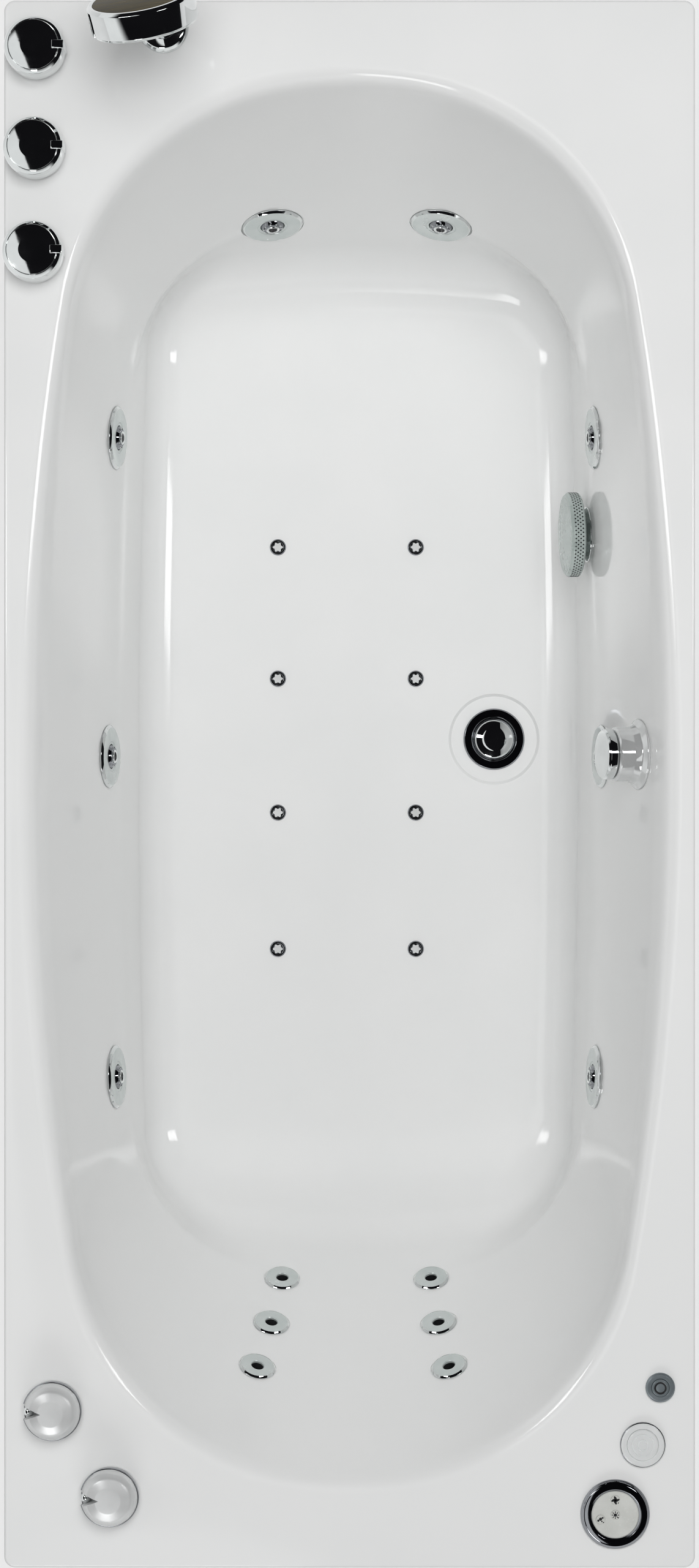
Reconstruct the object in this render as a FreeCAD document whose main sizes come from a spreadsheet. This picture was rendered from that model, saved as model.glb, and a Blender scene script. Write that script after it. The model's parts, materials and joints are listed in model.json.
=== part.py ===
"""Jetted bathtub: acrylic tub on a steel frame, with its jets, taps, waste, pump and blower.

Millimetres, +Z up. The origin is on the floor under the middle of the deck. X runs across
the bath and Y along it, with the taps and the hand shower at the +Y end.
"""

import FreeCAD, Part
import math
import os
import re

import Sketcher

V = FreeCAD.Vector
UP = V(0, 0, 1)
ALONG_X = V(1, 0, 0)
ALONG_Y = V(0, 1, 0)

# Each row: name, millimetres, what it is.
SIZES = [
    ("deck_length", 1700, "deck along Y"),
    ("deck_width", 750, "deck across X"),
    ("deck_height", 580, "top of the deck above the floor"),
    ("deck_corner", 12, "corner radius of the deck"),
    ("deck_edge_round", 3, "rounding of the deck's upper edge"),
    ("lip_drop", 40, "downturned lip, top to bottom"),
    ("shell_wall", 6, "acrylic and its glass fibre"),
    ("basin_side", 363, "half width of the basin opening"),
    ("basin_foot", 783, "reach of the opening towards the taps"),
    ("basin_back", 770, "reach of the opening towards the backrest"),
    ("basin_depth", 430, "deck to floor of the basin"),
    ("basin_middle", 20, "Y of the basin's widest place"),
    ("rim_width", 26, "rim rounding, across"),
    ("rim_drop", 36, "rim rounding, down"),
    ("side_flare", 28, "how far the side walls flare to the rim"),
    ("flare_depth", 305, "depth where the flare ends"),
    ("side_fillet", 48, "wall to floor radius at the sides"),
    ("foot_fillet", 100, "wall to floor radius at the foot end"),
    ("back_fillet", 150, "wall to floor radius at the backrest"),
    ("drain_x", 165, "waste, X"),
    ("drain_y", 55, "waste, Y"),
    ("dish_radius", 59.5, "moulded dish round the waste"),
    ("dish_drop", 4, "dish below the floor of the basin"),
    ("jet_ring_radius", 36.5, "trim ring of a large jet"),
    ("jet_ring_thick", 4.5, "trim ring, wall to face"),
    ("jet_eye_hole", 14.1, "lip of the trim ring that holds the ball"),
    ("jet_ball", 14.9, "swivelling ball"),
    ("jet_socket", 14.95, "socket of the ball"),
    ("jet_ball_sink", 3, "ball centre behind the wall face"),
    ("jet_shank", 22, "threaded shank of a large jet"),
    ("jet_nozzle_bore", 5, "bore of the nozzle"),
    ("jet_nozzle_radius", 8, "nozzle tube"),
    ("jet_tail", 48, "jet body behind the wall face"),
    ("back_jet_radius", 21, "cover of a back jet"),
    ("back_jet_thick", 3.5, "cover, wall to face"),
    ("back_jet_bore", 7, "hole of a back jet"),
    ("back_jet_shank", 12, "threaded shank of a back jet"),
    ("back_jet_tail", 34, "back jet body behind the wall face"),
    ("air_cap_radius", 10, "cap of an air jet"),
    ("air_shank", 7, "shank of an air jet"),
    ("pad_thick", 5, "flat pads moulded behind the fittings"),
    ("suction_radius", 50, "suction cover"),
    ("suction_skin", 3, "side wall of the suction cover"),
    ("suction_shank", 24, "threaded shank of the suction"),
    ("waste_radius", 37.5, "waste flange"),
    ("waste_throat", 18, "bore of the waste"),
    ("waste_pipe", 20, "outlet spigot of the trap"),
    ("waste_pipe_length", 90, "free length of the outlet spigot"),
    ("trap_reach", 130, "drain axis to the end of the spigot"),
    ("trap_out_height", 75, "axis of the spigot above the floor"),
    ("plug_radius", 24.8, "pop-up plug"),
    ("plug_stem", 4, "stem of the plug"),
    ("filler_radius", 39, "overflow and filler at the wall"),
    ("filler_reach", 31, "overflow and filler, wall to face"),
    ("filler_knob_radius", 28, "overflow knob"),
    ("spindle", 5, "spindles of knobs"),
    ("spindle_hole", 5.05, "spindle holes in knobs"),
    ("knob_radius", 32.5, "tap knob"),
    ("knob_top", 34.5, "top of a tap knob above the deck"),
    ("knob_gap", 5.6, "underside of a tap knob above the deck"),
    ("valve_radius", 17, "tap valve body"),
    ("valve_neck", 14, "tap valve neck through the deck"),
    ("valve_drop", 66, "tap valve body below the deck"),
    ("inlet_radius", 10.48, "half-inch inlet tail"),
    ("holder_radius", 28, "hand shower holder"),
    ("handle_radius", 11, "hand shower handle"),
    ("sleeve_bore", 11.08, "sleeve that the handle stands in"),
    ("sleeve_drop", 150, "sleeve below the deck"),
    ("head_radius", 57, "hand shower head"),
    ("head_thick", 30, "hand shower head, face to back"),
    ("regulator_radius", 32, "air regulator"),
    ("regulator_top", 35, "air regulator above the deck"),
    ("panel_radius", 37.5, "bezel of the control panel"),
    ("panel_face_radius", 25.5, "face of the control panel"),
    ("key_radius", 5, "keys of the control panel"),
    ("start_bezel", 24.5, "bezel of the large push button"),
    ("start_radius", 17, "large push button"),
    ("light_bezel", 16, "bezel of the small push button"),
    ("light_radius", 9.4, "small push button"),
    ("frame_tube", 30, "square frame tube"),
    ("frame_wall", 2, "wall of the frame tube"),
    ("rail_x", 245, "frame rail, X"),
    ("rail_length", 1696, "frame rail"),
    ("rail_height", 73, "underside of the rails"),
    ("post_side", 20, "rim post"),
    ("foot_radius", 25, "pad of a foot"),
    ("foot_stem", 6, "threaded stem of a foot"),
    ("board_thick", 11, "board under the basin floor"),
    ("water_pipe", 14, "water pipe radius"),
    ("water_level", 411, "side water pipes above the floor"),
    ("small_pipe", 9, "filler and back jet pipe radius"),
    ("air_pipe", 11, "floor air pipe radius"),
    ("air_level", 88, "floor air pipes above the floor"),
    ("air_tube", 5, "jet air tube radius"),
    ("suction_pipe", 22, "suction pipe radius"),
    ("overflow_hose", 12, "overflow hose radius"),
    ("cable_radius", 3, "plug cable radius"),
    ("motor_radius", 62, "pump motor"),
    ("pump_y", -707, "pump, Y"),
    ("blower_radius", 60, "air blower"),
    ("gland_bore", 4.5, "mains gland"),
]

doc = FreeCAD.newDocument("JettedBathtub")
sheet = doc.addObject("Spreadsheet::Sheet", "Sizes")
for line, (alias, value, meaning) in enumerate(SIZES, start=1):
    sheet.set(f"A{line}", alias)
    sheet.set(f"B{line}", str(value))
    sheet.set(f"C{line}", meaning)
    sheet.setAlias(f"B{line}", alias)
doc.recompute()
size = {alias: float(sheet.get(alias)) for alias, value, meaning in SIZES}

DECK = size["deck_height"]
FLOOR = DECK - size["basin_depth"]
UNDER_FLOOR = FLOOR - size["shell_wall"]
BOARD_BASE = UNDER_FLOOR - size["board_thick"]
RAIL_TOP = size["rail_height"] + size["frame_tube"]
DISH = FLOOR - size["dish_drop"]

# Places of the fittings: distances along the walls and depths below the deck.
SIDE_JET_Y = (402, 32, -340)
SIDE_JET_DEPTH = 235
FOOT_JET_X = (-100, 100)
FOOT_JET_DEPTH = 300
BACK_JETS = ((88, 296), (97, 222), (109, 149))  # X and depth
AIR_JET_X = (-100, 69)
AIR_JET_Y = (290, 129, -35, -202)
SUCTION_AT = (295, 300)  # Y and depth
FILLER_AT = (33, 85)  # Y and depth
KNOBS = {"diverter_knob": (-339, 794), "cold_tap_knob": (-340, 686), "hot_tap_knob": (-341, 574)}
HOLDER_AT = (-202, 820)
REGULATORS = {"air_regulator_1": (-321, -677), "air_regulator_2": (-259, -770)}
PANEL_AT = (288, -791)
KEYS = {"panel_key_1": (0, 16), "panel_key_2": (0, 0), "panel_key_3": (-16, -5)}
START_AT = (318, -716)
LIGHT_AT = (337, -654)
CROSSBAR_Y = (-400, -120, 210, 500)
END_BAR_Y = 833
POST_X = 354
FOOT_Y = (-700, 0, 600)

nodes = []
shared = {}


# ---------------------------------------------------------------- sheet-bound sketches


def formula(text):
    """A sum or product of size names and numbers, written as an expression on the sheet."""
    return re.sub(r"[a-z]\w*", lambda name: "Sizes." + name.group(0), text)


def number(text):
    """The value of such a formula."""
    total = 0.0
    for sign, term in re.findall(r"([+-]?)\s*([\w.*]+)", text):
        product = -1.0 if sign == "-" else 1.0
        for factor in term.split("*"):
            product *= size[factor] if factor in size else float(factor)
        total += product
    return total


def plane(body, role):
    """The body's own origin plane of that role."""
    return next(item for item in body.Origin.OriginFeatures if item.Role == role)


def new_sketch(body, role):
    """An empty sketch on one of the body's origin planes."""
    sketch = body.newObject("Sketcher::SketchObject", body.Label + "_sketch")
    sketch.AttachmentSupport = [(plane(body, role), "")]
    sketch.MapMode = "FlatFace"
    return sketch


def pin_point(sketch, line, end, corner):
    """Tie one end of a line to its two coordinates on the sheet."""
    for kind, text in (("DistanceX", corner[0]), ("DistanceY", corner[1])):
        value = number(text)
        index = sketch.addConstraint(Sketcher.Constraint(kind, -1, 1, line, end, value))
        if re.search("[a-z]", text):
            sketch.setExpression(f"Constraints[{index}]", formula(text))


def draw(sketch, outline):
    """Draw a closed outline. A corner is (x, y); a third value makes it a point that an
    arc passes through, of the radius given, on its way from the last corner to the next."""
    corners = [item for item in outline if len(item) == 2]
    points = [V(number(x), number(y), 0) for x, y in corners]
    through = {}
    for place, item in enumerate(outline):
        if len(item) == 3:
            through[corners.index(outline[place - 1])] = item
    count = len(corners)
    for index in range(count):
        start, stop = points[index], points[(index + 1) % count]
        if index in through:
            x, y, radius = through[index]
            arc = Part.Arc(start, V(number(x), number(y), 0), stop)
            sketch.addGeometry(arc)
        else:
            sketch.addGeometry(Part.LineSegment(start, stop))
    ends = []
    for index in range(count):
        first = sketch.getPoint(index, 1)
        ends.append((1, 2) if (first - points[index]).Length < 1e-6 else (2, 1))
    for index in range(count):
        after = (index + 1) % count
        join = (index, ends[index][1], after, ends[after][0])
        sketch.addConstraint(Sketcher.Constraint("Coincident", *join))
        pin_point(sketch, index, ends[index][0], corners[index])
        if index in through:
            radius = through[index][2]
            bend = sketch.addConstraint(Sketcher.Constraint("Radius", index, number(radius)))
            sketch.setExpression(f"Constraints[{bend}]", formula(radius))


def lathe(label, outline):
    """A body turned about Z from an outline of (radius, height) corners."""
    body = doc.addObject("PartDesign::Body", label)
    sketch = new_sketch(body, "XZ_Plane")
    draw(sketch, outline)
    turn = body.newObject("PartDesign::Revolution", label + "_turn")
    turn.Profile = sketch
    turn.ReferenceAxis = (sketch, ["V_Axis"])
    turn.Angle = 360
    doc.recompute()
    return body


def bar(label, long_text, wide_text, wall_text):
    """A square tube along Y, its underside at Z 0, from a sketch with an inner outline."""
    body = doc.addObject("PartDesign::Body", label)
    sketch = new_sketch(body, "XZ_Plane")
    half = f"0.5*{wide_text}"
    low, high = f"-0.5*{wide_text} + {wall_text}", f"0.5*{wide_text} - {wall_text}"
    draw(sketch, [("-" + half, "0"), (half, "0"), (half, wide_text), ("-" + half, wide_text)])
    first = body.newObject("PartDesign::Pad", label + "_pad")
    first.Profile = sketch
    first.setExpression("Length", formula(long_text))
    first.SideType = "Symmetric"
    doc.recompute()
    hollow = new_sketch(body, "XZ_Plane")
    top = f"{wide_text} - {wall_text}"
    draw(hollow, [(low, wall_text), (high, wall_text), (high, top), (low, top)])
    cut = body.newObject("PartDesign::Pocket", label + "_hollow")
    cut.Profile = hollow
    cut.Type = "ThroughAll"
    cut.SideType = "Symmetric"
    doc.recompute()
    return body


# ---------------------------------------------------------------- shapes and nodes


def keep(label, shape, placement=None):
    """A sub-part that is set by shape."""
    item = doc.addObject("Part::Feature", label)
    item.Label = label
    item.Shape = shape
    if placement:
        item.Placement = placement
    nodes.append(item)
    return item


def keep_body(body, placement=None):
    """A sub-part that is a body of its own."""
    if placement:
        body.Placement = placement
    nodes.append(body)
    return body


def group(label, shapes):
    """Add separate pieces to a sub-part that several functions may share."""
    shared.setdefault(label, []).extend(shapes)


def placed(shape, placement):
    """A copy of a shape at a placement."""
    copy = shape.copy()
    copy.Placement = placement.multiply(copy.Placement)
    return copy


def at(x, y, z, heading=UP):
    """A placement whose own Z points along heading."""
    return FreeCAD.Placement(V(x, y, z), FreeCAD.Rotation(UP, heading))


def rod(radius, start, stop):
    """A round bar between two points."""
    run = stop - start
    return Part.makeCylinder(radius, run.Length, start, run)


def block(low, high):
    """A box between two corners."""
    return Part.makeBox(high.x - low.x, high.y - low.y, high.z - low.z, low)


def pipe(radius, points, bend=None):
    """A round pipe along straight runs joined by tangent arcs.

    Without a bend radius each arc takes 0.45 of its shorter run.
    """
    edges = []
    here = points[0]
    radii = []
    for before, corner, after in zip(points, points[1:], points[2:]):
        come, go = corner - before, after - corner
        half = come.getAngle(go) / 2
        reach = 0.45 * min(come.Length, go.Length)
        if bend:
            reach = bend * math.tan(half)
        turn = reach / math.tan(half)
        radii.append(round(turn))
        come.normalize()
        go.normalize()
        start, stop = corner - come * reach, corner + go * reach
        inward = (go - come).normalize()
        middle = corner + inward * (turn / math.cos(half) - turn)
        edges.append(Part.LineSegment(here, start).toShape())
        edges.append(Part.Arc(start, middle, stop).toShape())
        here = stop
    edges.append(Part.LineSegment(here, points[-1]).toShape())
    path = Part.Wire(edges)
    ring = Part.Wire(Part.makeCircle(radius, points[0], points[1] - points[0]))
    solid = path.makePipeShell([ring], True, False)
    if radii:
        print("pipe of radius", radius, "bend radii", radii)
    return solid


# ---------------------------------------------------------------- the tub


def wall_line(top, slope, depth):
    """Reach of a straight wall that runs on tangent from the elliptical rim rounding."""
    angle = math.atan2(size["rim_width"], size["rim_drop"] * slope)
    start = size["rim_drop"] * (1 - math.cos(angle))
    if depth <= start:
        return top - size["rim_width"] * math.sin(math.acos(1 - depth / size["rim_drop"]))
    return top - size["rim_width"] * math.sin(angle) - slope * (depth - start)


def with_fillet(reach, slope, radius, depth):
    """Reach of a wall of that slope once its floor fillet has begun."""
    centre_depth = size["basin_depth"] - radius
    tangent_depth = centre_depth + radius * math.sin(math.atan(slope))
    if depth <= tangent_depth:
        return reach(depth)
    line = reach(tangent_depth) + slope * (tangent_depth - centre_depth)
    centre = line - radius * math.hypot(1, slope)
    return centre + math.sqrt(max(0.0, radius**2 - (depth - centre_depth) ** 2))


SIDE_SLOPE = 0.12
FOOT_SLOPE = 0.33
BACK_SLOPE = 0.57


def side_reach(depth):
    """Half width of the basin at a depth below the deck."""

    def wall(deep):
        past = min(1.0, max(0.0, deep - 20) / (size["flare_depth"] - 20))
        flare = size["side_flare"] * (1 - (1 - past) ** 2)
        return wall_line(size["basin_side"], SIDE_SLOPE, deep) - flare

    return with_fillet(wall, SIDE_SLOPE, size["side_fillet"], depth)


def foot_reach(depth):
    """Reach of the basin towards the taps at a depth."""

    def wall(deep):
        return wall_line(size["basin_foot"], FOOT_SLOPE, deep)

    return with_fillet(wall, FOOT_SLOPE, size["foot_fillet"], depth)


def back_reach(depth):
    """Reach of the basin towards the backrest at a depth."""

    def wall(deep):
        return wall_line(size["basin_back"], BACK_SLOPE, deep)

    return with_fillet(wall, BACK_SLOPE, size["back_fillet"], depth)


def corner_of(half_width, reach, side_radius, end_radius, corner_radius):
    """Where the corner arc of a quarter outline starts, its middle and its end."""
    side_centre = V(half_width - side_radius, 0, 0)
    end_centre = V(0, reach - end_radius, 0)
    first, second = side_radius - corner_radius, end_radius - corner_radius
    apart = end_centre - side_centre
    along = (first**2 - second**2 + apart.Length**2) / (2 * apart.Length)
    across = math.sqrt(first**2 - along**2)
    heading = V(apart).normalize()
    centre = side_centre + heading * along + V(-heading.y, heading.x, 0) * across
    start = centre + (centre - side_centre).normalize() * corner_radius
    stop = centre + (centre - end_centre).normalize() * corner_radius
    middle = centre + ((start + stop) / 2 - centre).normalize() * corner_radius
    return start, middle, stop


def basin_outline(depth, grow, drop):
    """The basin's outline at a depth: eight tangent arcs, grown outwards and dropped."""
    deep = depth / size["basin_depth"]
    flat = max(0.0, (depth - 310) / 120)
    half_width = side_reach(depth) + grow
    foot = foot_reach(depth) + grow - size["basin_middle"]
    back = back_reach(depth) + grow + size["basin_middle"]
    side_radius = 3000 + 10000 * deep
    end_radius = 420 + 1200 * deep**2
    corner_radius = 290 - 140 * deep - 90 * flat + grow
    start, middle, stop = corner_of(half_width, foot, side_radius, end_radius, corner_radius)
    near = (start, middle, stop)
    far = corner_of(half_width, back, side_radius, end_radius, corner_radius)

    def spot(point, mirror_x, mirror_y):
        y = size["basin_middle"] + point.y * mirror_y
        return V(point.x * mirror_x, y, DECK - depth - drop)

    right, left = V(half_width, 0, 0), V(half_width, 0, 0)
    ring = [
        (spot(far[0], 1, -1), spot(right, 1, 1), spot(near[0], 1, 1)),
        (spot(near[0], 1, 1), spot(near[1], 1, 1), spot(near[2], 1, 1)),
        (spot(near[2], 1, 1), spot(V(0, foot, 0), 1, 1), spot(near[2], -1, 1)),
        (spot(near[2], -1, 1), spot(near[1], -1, 1), spot(near[0], -1, 1)),
        (spot(near[0], -1, 1), spot(left, -1, 1), spot(far[0], -1, -1)),
        (spot(far[0], -1, -1), spot(far[1], -1, -1), spot(far[2], -1, -1)),
        (spot(far[2], -1, -1), spot(V(0, back, 0), 1, -1), spot(far[2], 1, -1)),
        (spot(far[2], 1, -1), spot(far[1], 1, -1), spot(far[0], 1, -1)),
    ]
    return Part.Wire([Part.Arc(*arc).toShape() for arc in ring])


def depths():
    """Levels of the basin's outlines: close together where the wall bends."""
    rim = [size["rim_drop"] * (1 - math.cos(math.radians(turn))) for turn in (0, 18, 34, 48, 60)]
    wall = [50, 110, 180, 250, 300, 332, 360]
    centre = size["basin_depth"] - size["side_fillet"]
    turns = (85, 68, 52, 37, 23, 11, 0)
    foot = [centre + size["side_fillet"] * math.cos(math.radians(turn)) for turn in turns]
    return rim + wall + foot


def skin(grow, steepness):
    """The basin as a loft of its outlines. Steepness thins the growth over the floor."""
    wires = []
    for depth in depths():
        flat = math.sqrt(max(0.0, 1 - (1 - depth / size["rim_drop"]) ** 2))
        lean = 1.0 if depth > size["rim_drop"] else flat
        centre = size["basin_depth"] - size["side_fillet"]
        if depth > centre:
            lean = math.sqrt(max(0.0, 1 - ((depth - centre) / size["side_fillet"]) ** 2))
        drop = grow * math.sqrt(1 - lean**2) * steepness
        wires.append(basin_outline(depth, grow * lean, drop))
    return Part.makeLoft(wires, False, True), wires[0], wires[-1]


def deck_outline(inset, height):
    """The deck's rounded rectangle, drawn in from its edge."""
    x, y = size["deck_width"] / 2 - inset, size["deck_length"] / 2 - inset
    corner = size["deck_corner"] - inset
    edges = []
    for turn in range(4):
        spin = math.radians(90 * turn)
        reach = (x, y) if turn % 2 == 0 else (y, x)
        heart = V(reach[0] - corner, reach[1] - corner, 0)

        def swing(point):
            right = point.x * math.cos(spin) - point.y * math.sin(spin)
            return V(right, point.x * math.sin(spin) + point.y * math.cos(spin), height)

        points = [heart + V(math.cos(a), math.sin(a), 0) * corner
                  for a in (0, math.pi / 4, math.pi / 2)]
        edges.append(Part.Arc(*[swing(point) for point in points]).toShape())
    for turn in range(4):
        here, after = edges[turn * 2], edges[(turn * 2 + 1) % len(edges)]
        start = here.Vertexes[-1].Point
        stop = after.Vertexes[0].Point
        edges.insert(turn * 2 + 1, Part.LineSegment(start, stop).toShape())
    return Part.Wire(edges)


def plain_shell():
    """Deck, lip and basin as one closed skin, before anything is drilled."""
    wall = size["shell_wall"]
    inner, mouth, floor = skin(0, 0)
    outer, under_mouth, under_floor = skin(wall, 1)
    top, bottom = DECK, DECK - size["lip_drop"]
    turn = size["deck_edge_round"]
    outside_low = deck_outline(0, bottom)
    rounding = [deck_outline(turn * (1 - math.cos(a)), top - turn * (1 - math.sin(a)))
                for a in (0, math.pi / 6, math.pi / 3, math.pi / 2)]
    outside_high = rounding[-1]
    inside_low, inside_high = deck_outline(wall, bottom), deck_outline(wall, top - wall)
    faces = [
        Part.makeFace([outside_high, mouth], "Part::FaceMakerBullseye"),
        Part.Face(floor),
        Part.Face(under_floor),
        Part.makeFace([inside_high, under_mouth], "Part::FaceMakerBullseye"),
        Part.makeFace([outside_low, inside_low], "Part::FaceMakerBullseye"),
    ]
    for wires in ([outside_low] + rounding, [inside_low, inside_high]):
        faces += Part.makeLoft(wires, False, True).Faces
    faces += inner.Faces + outer.Faces
    hull = Part.makeShell(faces)
    hull.sewShape()
    solid = Part.makeSolid(hull)
    if solid.Volume < 0:
        solid.reverse()
    return solid, inner


def seat(basin, start, heading):
    """Placement on the basin wall where a line from inside meets it, Z into the basin."""
    ray = Part.makeLine(start, start + heading * 900)
    for face in basin.Faces:
        gap, pairs, _ = ray.distToShape(face)
        if gap < 1e-6:
            point = pairs[0][1]
            normal = face.normalAt(*face.Surface.parameter(point))
            if normal.dot(heading) > 0:
                normal = normal * -1
            return FreeCAD.Placement(point, FreeCAD.Rotation(UP, normal))
    raise ValueError("no wall there")


def wall_seats(basin):
    """Every place on the basin walls that carries a fitting."""
    seats = {"jets": [], "back_jets": []}
    for side in (-1, 1):
        for y in SIDE_JET_Y:
            start = V(0, y, DECK - SIDE_JET_DEPTH)
            seats["jets"].append(seat(basin, start, ALONG_X * side))
    for x in FOOT_JET_X:
        seats["jets"].append(seat(basin, V(x, 0, DECK - FOOT_JET_DEPTH), ALONG_Y))
    for side in (-1, 1):
        for x, depth in BACK_JETS:
            seats["back_jets"].append(seat(basin, V(x * side, 0, DECK - depth), ALONG_Y * -1))
    y, depth = SUCTION_AT
    seats["suction"] = seat(basin, V(0, y, DECK - depth), ALONG_X)
    y, depth = FILLER_AT
    seats["filler"] = seat(basin, V(0, y, DECK - depth), ALONG_X)
    return seats


def drilled_shell(solid, seats):
    """The shell with a pad, a flat and a hole for each fitting on its walls."""
    wall, pad = size["shell_wall"], size["pad_thick"]
    fittings = [(s, size["jet_ring_radius"] + 1, size["jet_shank"] + 0.3) for s in seats["jets"]]
    fittings += [(s, size["back_jet_radius"] + 1, size["back_jet_shank"] + 0.3)
                 for s in seats["back_jets"]]
    fittings.append((seats["suction"], 37, size["suction_shank"] + 0.3))
    fittings.append((seats["filler"], size["filler_radius"] + 1, 18.3))
    for place, flat, hole in fittings:
        boss = Part.makeCylinder(flat, pad + wall - 1, V(0, 0, -wall - pad))
        bore = Part.makeCylinder(hole, 60, V(0, 0, -40))
        solid = solid.fuse(placed(boss, place))
        solid = solid.cut(placed(Part.makeCylinder(flat, 12).fuse(bore), place))
    return drilled_floor(drilled_deck(solid))


def drilled_deck(solid):
    """Cut the holes of the taps, the hand shower, the regulators and the controls."""
    holes = [(place, size["valve_neck"] + 0.3) for place in KNOBS.values()]
    holes += [(place, 15.3) for place in REGULATORS.values()]
    holes += [(HOLDER_AT, 14.3), (PANEL_AT, 28.3), (START_AT, 20.3), (LIGHT_AT, 11.3)]
    return solid.cut([Part.makeCylinder(radius, 30, V(x, y, DECK - 15))
                      for (x, y), radius in holes])


def drilled_floor(solid):
    """Sink the dish round the waste and drill the floor."""
    wall = size["shell_wall"]
    x, y = size["drain_x"], size["drain_y"]
    boss = Part.makeCylinder(size["dish_radius"] + 7, wall + 3, V(x, y, DISH - wall))
    dish = Part.makeCone(size["dish_radius"] - 7, size["dish_radius"] + 25, 40, V(x, y, DISH))
    solid = solid.fuse(boss).cut(dish)
    solid = solid.cut(Part.makeCylinder(21.5, 40, V(x, y, DISH - 30)))
    radius = size["air_shank"] + 0.3
    return solid.cut([Part.makeCylinder(radius, 30, V(jet_x, jet_y, FLOOR - 15))
                      for jet_x in AIR_JET_X for jet_y in AIR_JET_Y])


# ---------------------------------------------------------------- fittings on the walls


def large_jets(seats, water, air):
    """Trim rings, swivelling nozzles, bodies and lock nuts of the large jets."""
    thick, edge = "jet_ring_thick", "jet_ring_radius"
    ring = lathe("one_jet_ring", [
        ("jet_eye_hole + 1.3", "0"), (edge, "0"), (edge, "2"), (edge + " - 2.5", thick),
        ("18", thick), ("17.2", thick + " - 0.8"), ("jet_eye_hole", thick + " - 0.8")])
    group("jet_trim_rings", [placed(ring.Shape, place) for place in seats])
    nozzle = swivel_nozzle()
    for index, place in enumerate(seats, start=1):
        deep = place.multiply(at(0, 0, -size["jet_ball_sink"]))
        keep(f"jet_nozzle_{index}", nozzle.Shape.copy(), deep)
    body = lathe("one_jet_body", [
        ("jet_socket", "0"), ("jet_shank", "0"), ("jet_shank", "-jet_tail + 4"),
        ("jet_shank - 4", "-jet_tail"), ("0", "-jet_tail"), ("0", "-jet_tail + 5"),
        ("11", "-jet_tail + 5"), ("11", "-19"), ("jet_socket", "-19")])
    bodies = []
    for place in seats:
        tail = place.multVec(V(0, 0, -36))
        ports = jet_ports(tail, place)
        shape = placed(body.Shape, place).fuse(ports)
        bodies.append(shape.cut(water + air))
    group("jet_bodies", bodies)
    nut = lathe("one_jet_nut", [
        ("jet_shank + 0.1", "-21"), ("jet_shank + 9", "-21"), ("jet_shank + 12", "-19"),
        ("jet_shank + 12", "-11.2"), ("jet_shank + 0.1", "-11.2")])
    group("wall_lock_nuts", [placed(nut.Shape, place) for place in seats])


def jet_ports(tail, place):
    """Water and air ports of a large jet, as far as the pipes that feed them."""
    if abs(place.Base.x) > 200:
        side = math.copysign(1, place.Base.x)
        water_at = V(side * SIDE_PIPE_X, tail.y, size["water_level"])
        air_at = V(side * AIR_LINE_X, tail.y, AIR_LINE_Z)
        water_foot = V(water_at.x, tail.y, tail.z + 8)
        air_foot = V(tail.x, tail.y, tail.z + 8)
        return [rod(10, water_foot, water_at), rod(4, air_foot, air_at)]
    water_at = V(tail.x, FOOT_PIPE_Y, FOOT_PIPE_Z)
    end = place.multVec(V(0, 0, -size["jet_tail"] + 2))
    air_at = V(tail.x, AIR_FOOT_Y, AIR_FOOT_Z)
    return [rod(10, V(tail.x, FOOT_PIPE_Y, tail.z - 8), water_at), rod(4, end, air_at)]


def swivel_nozzle():
    """The ball of a large jet, with its nozzle tube and the slots round it."""
    body = lathe("one_jet_nozzle", [
        ("jet_nozzle_bore", "-13.4"), ("6.5", "-13.4"), ("jet_ball", "0", "jet_ball"),
        ("11", "10.05"), ("jet_nozzle_radius", "8.6"), ("jet_nozzle_radius", "11"),
        ("jet_nozzle_bore + 1", "12"), ("jet_nozzle_bore", "11")])
    sketch = new_sketch(body, "XY_Plane")
    draw(sketch, [("8.8", "-1.1"), ("12.6", "-1.7"), ("12.6", "1.7"), ("8.8", "1.1")])
    slot = body.newObject("PartDesign::Pocket", "one_slot")
    slot.Profile = sketch
    slot.Type = "ThroughAll"
    slot.Reversed = True
    doc.recompute()
    ring = body.newObject("PartDesign::PolarPattern", "slot_ring")
    ring.Originals = [slot]
    ring.Axis = (sketch, ["N_Axis"])
    ring.Angle = 360
    ring.Occurrences = 8
    body.Tip = ring
    doc.recompute()
    return body


def back_jets(seats):
    """Covers, bodies and nuts of the small jets in the backrest."""
    thick, edge = "back_jet_thick", "back_jet_radius"
    cover = lathe("one_back_cover", [
        ("back_jet_bore", "0"), (edge, "0"), (edge, "1.5"), (edge + " - 2", thick),
        ("back_jet_bore + 1", thick), ("back_jet_bore", thick + " - 1")])
    body = lathe("one_back_body", [
        ("back_jet_bore", "0"), ("back_jet_shank", "0"), ("back_jet_shank", "-back_jet_tail"),
        ("0", "-back_jet_tail"), ("0", "-back_jet_tail + 6"),
        ("back_jet_bore", "-back_jet_tail + 6")])
    nut = lathe("one_back_nut", [
        ("back_jet_shank + 0.1", "-18"), ("back_jet_shank + 7", "-18"),
        ("back_jet_shank + 7", "-11.2"), ("back_jet_shank + 0.1", "-11.2")])
    group("back_jet_covers", [placed(cover.Shape, place) for place in seats])
    group("wall_lock_nuts", [placed(nut.Shape, place) for place in seats])
    return [placed(body.Shape, place) for place in seats]


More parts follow.
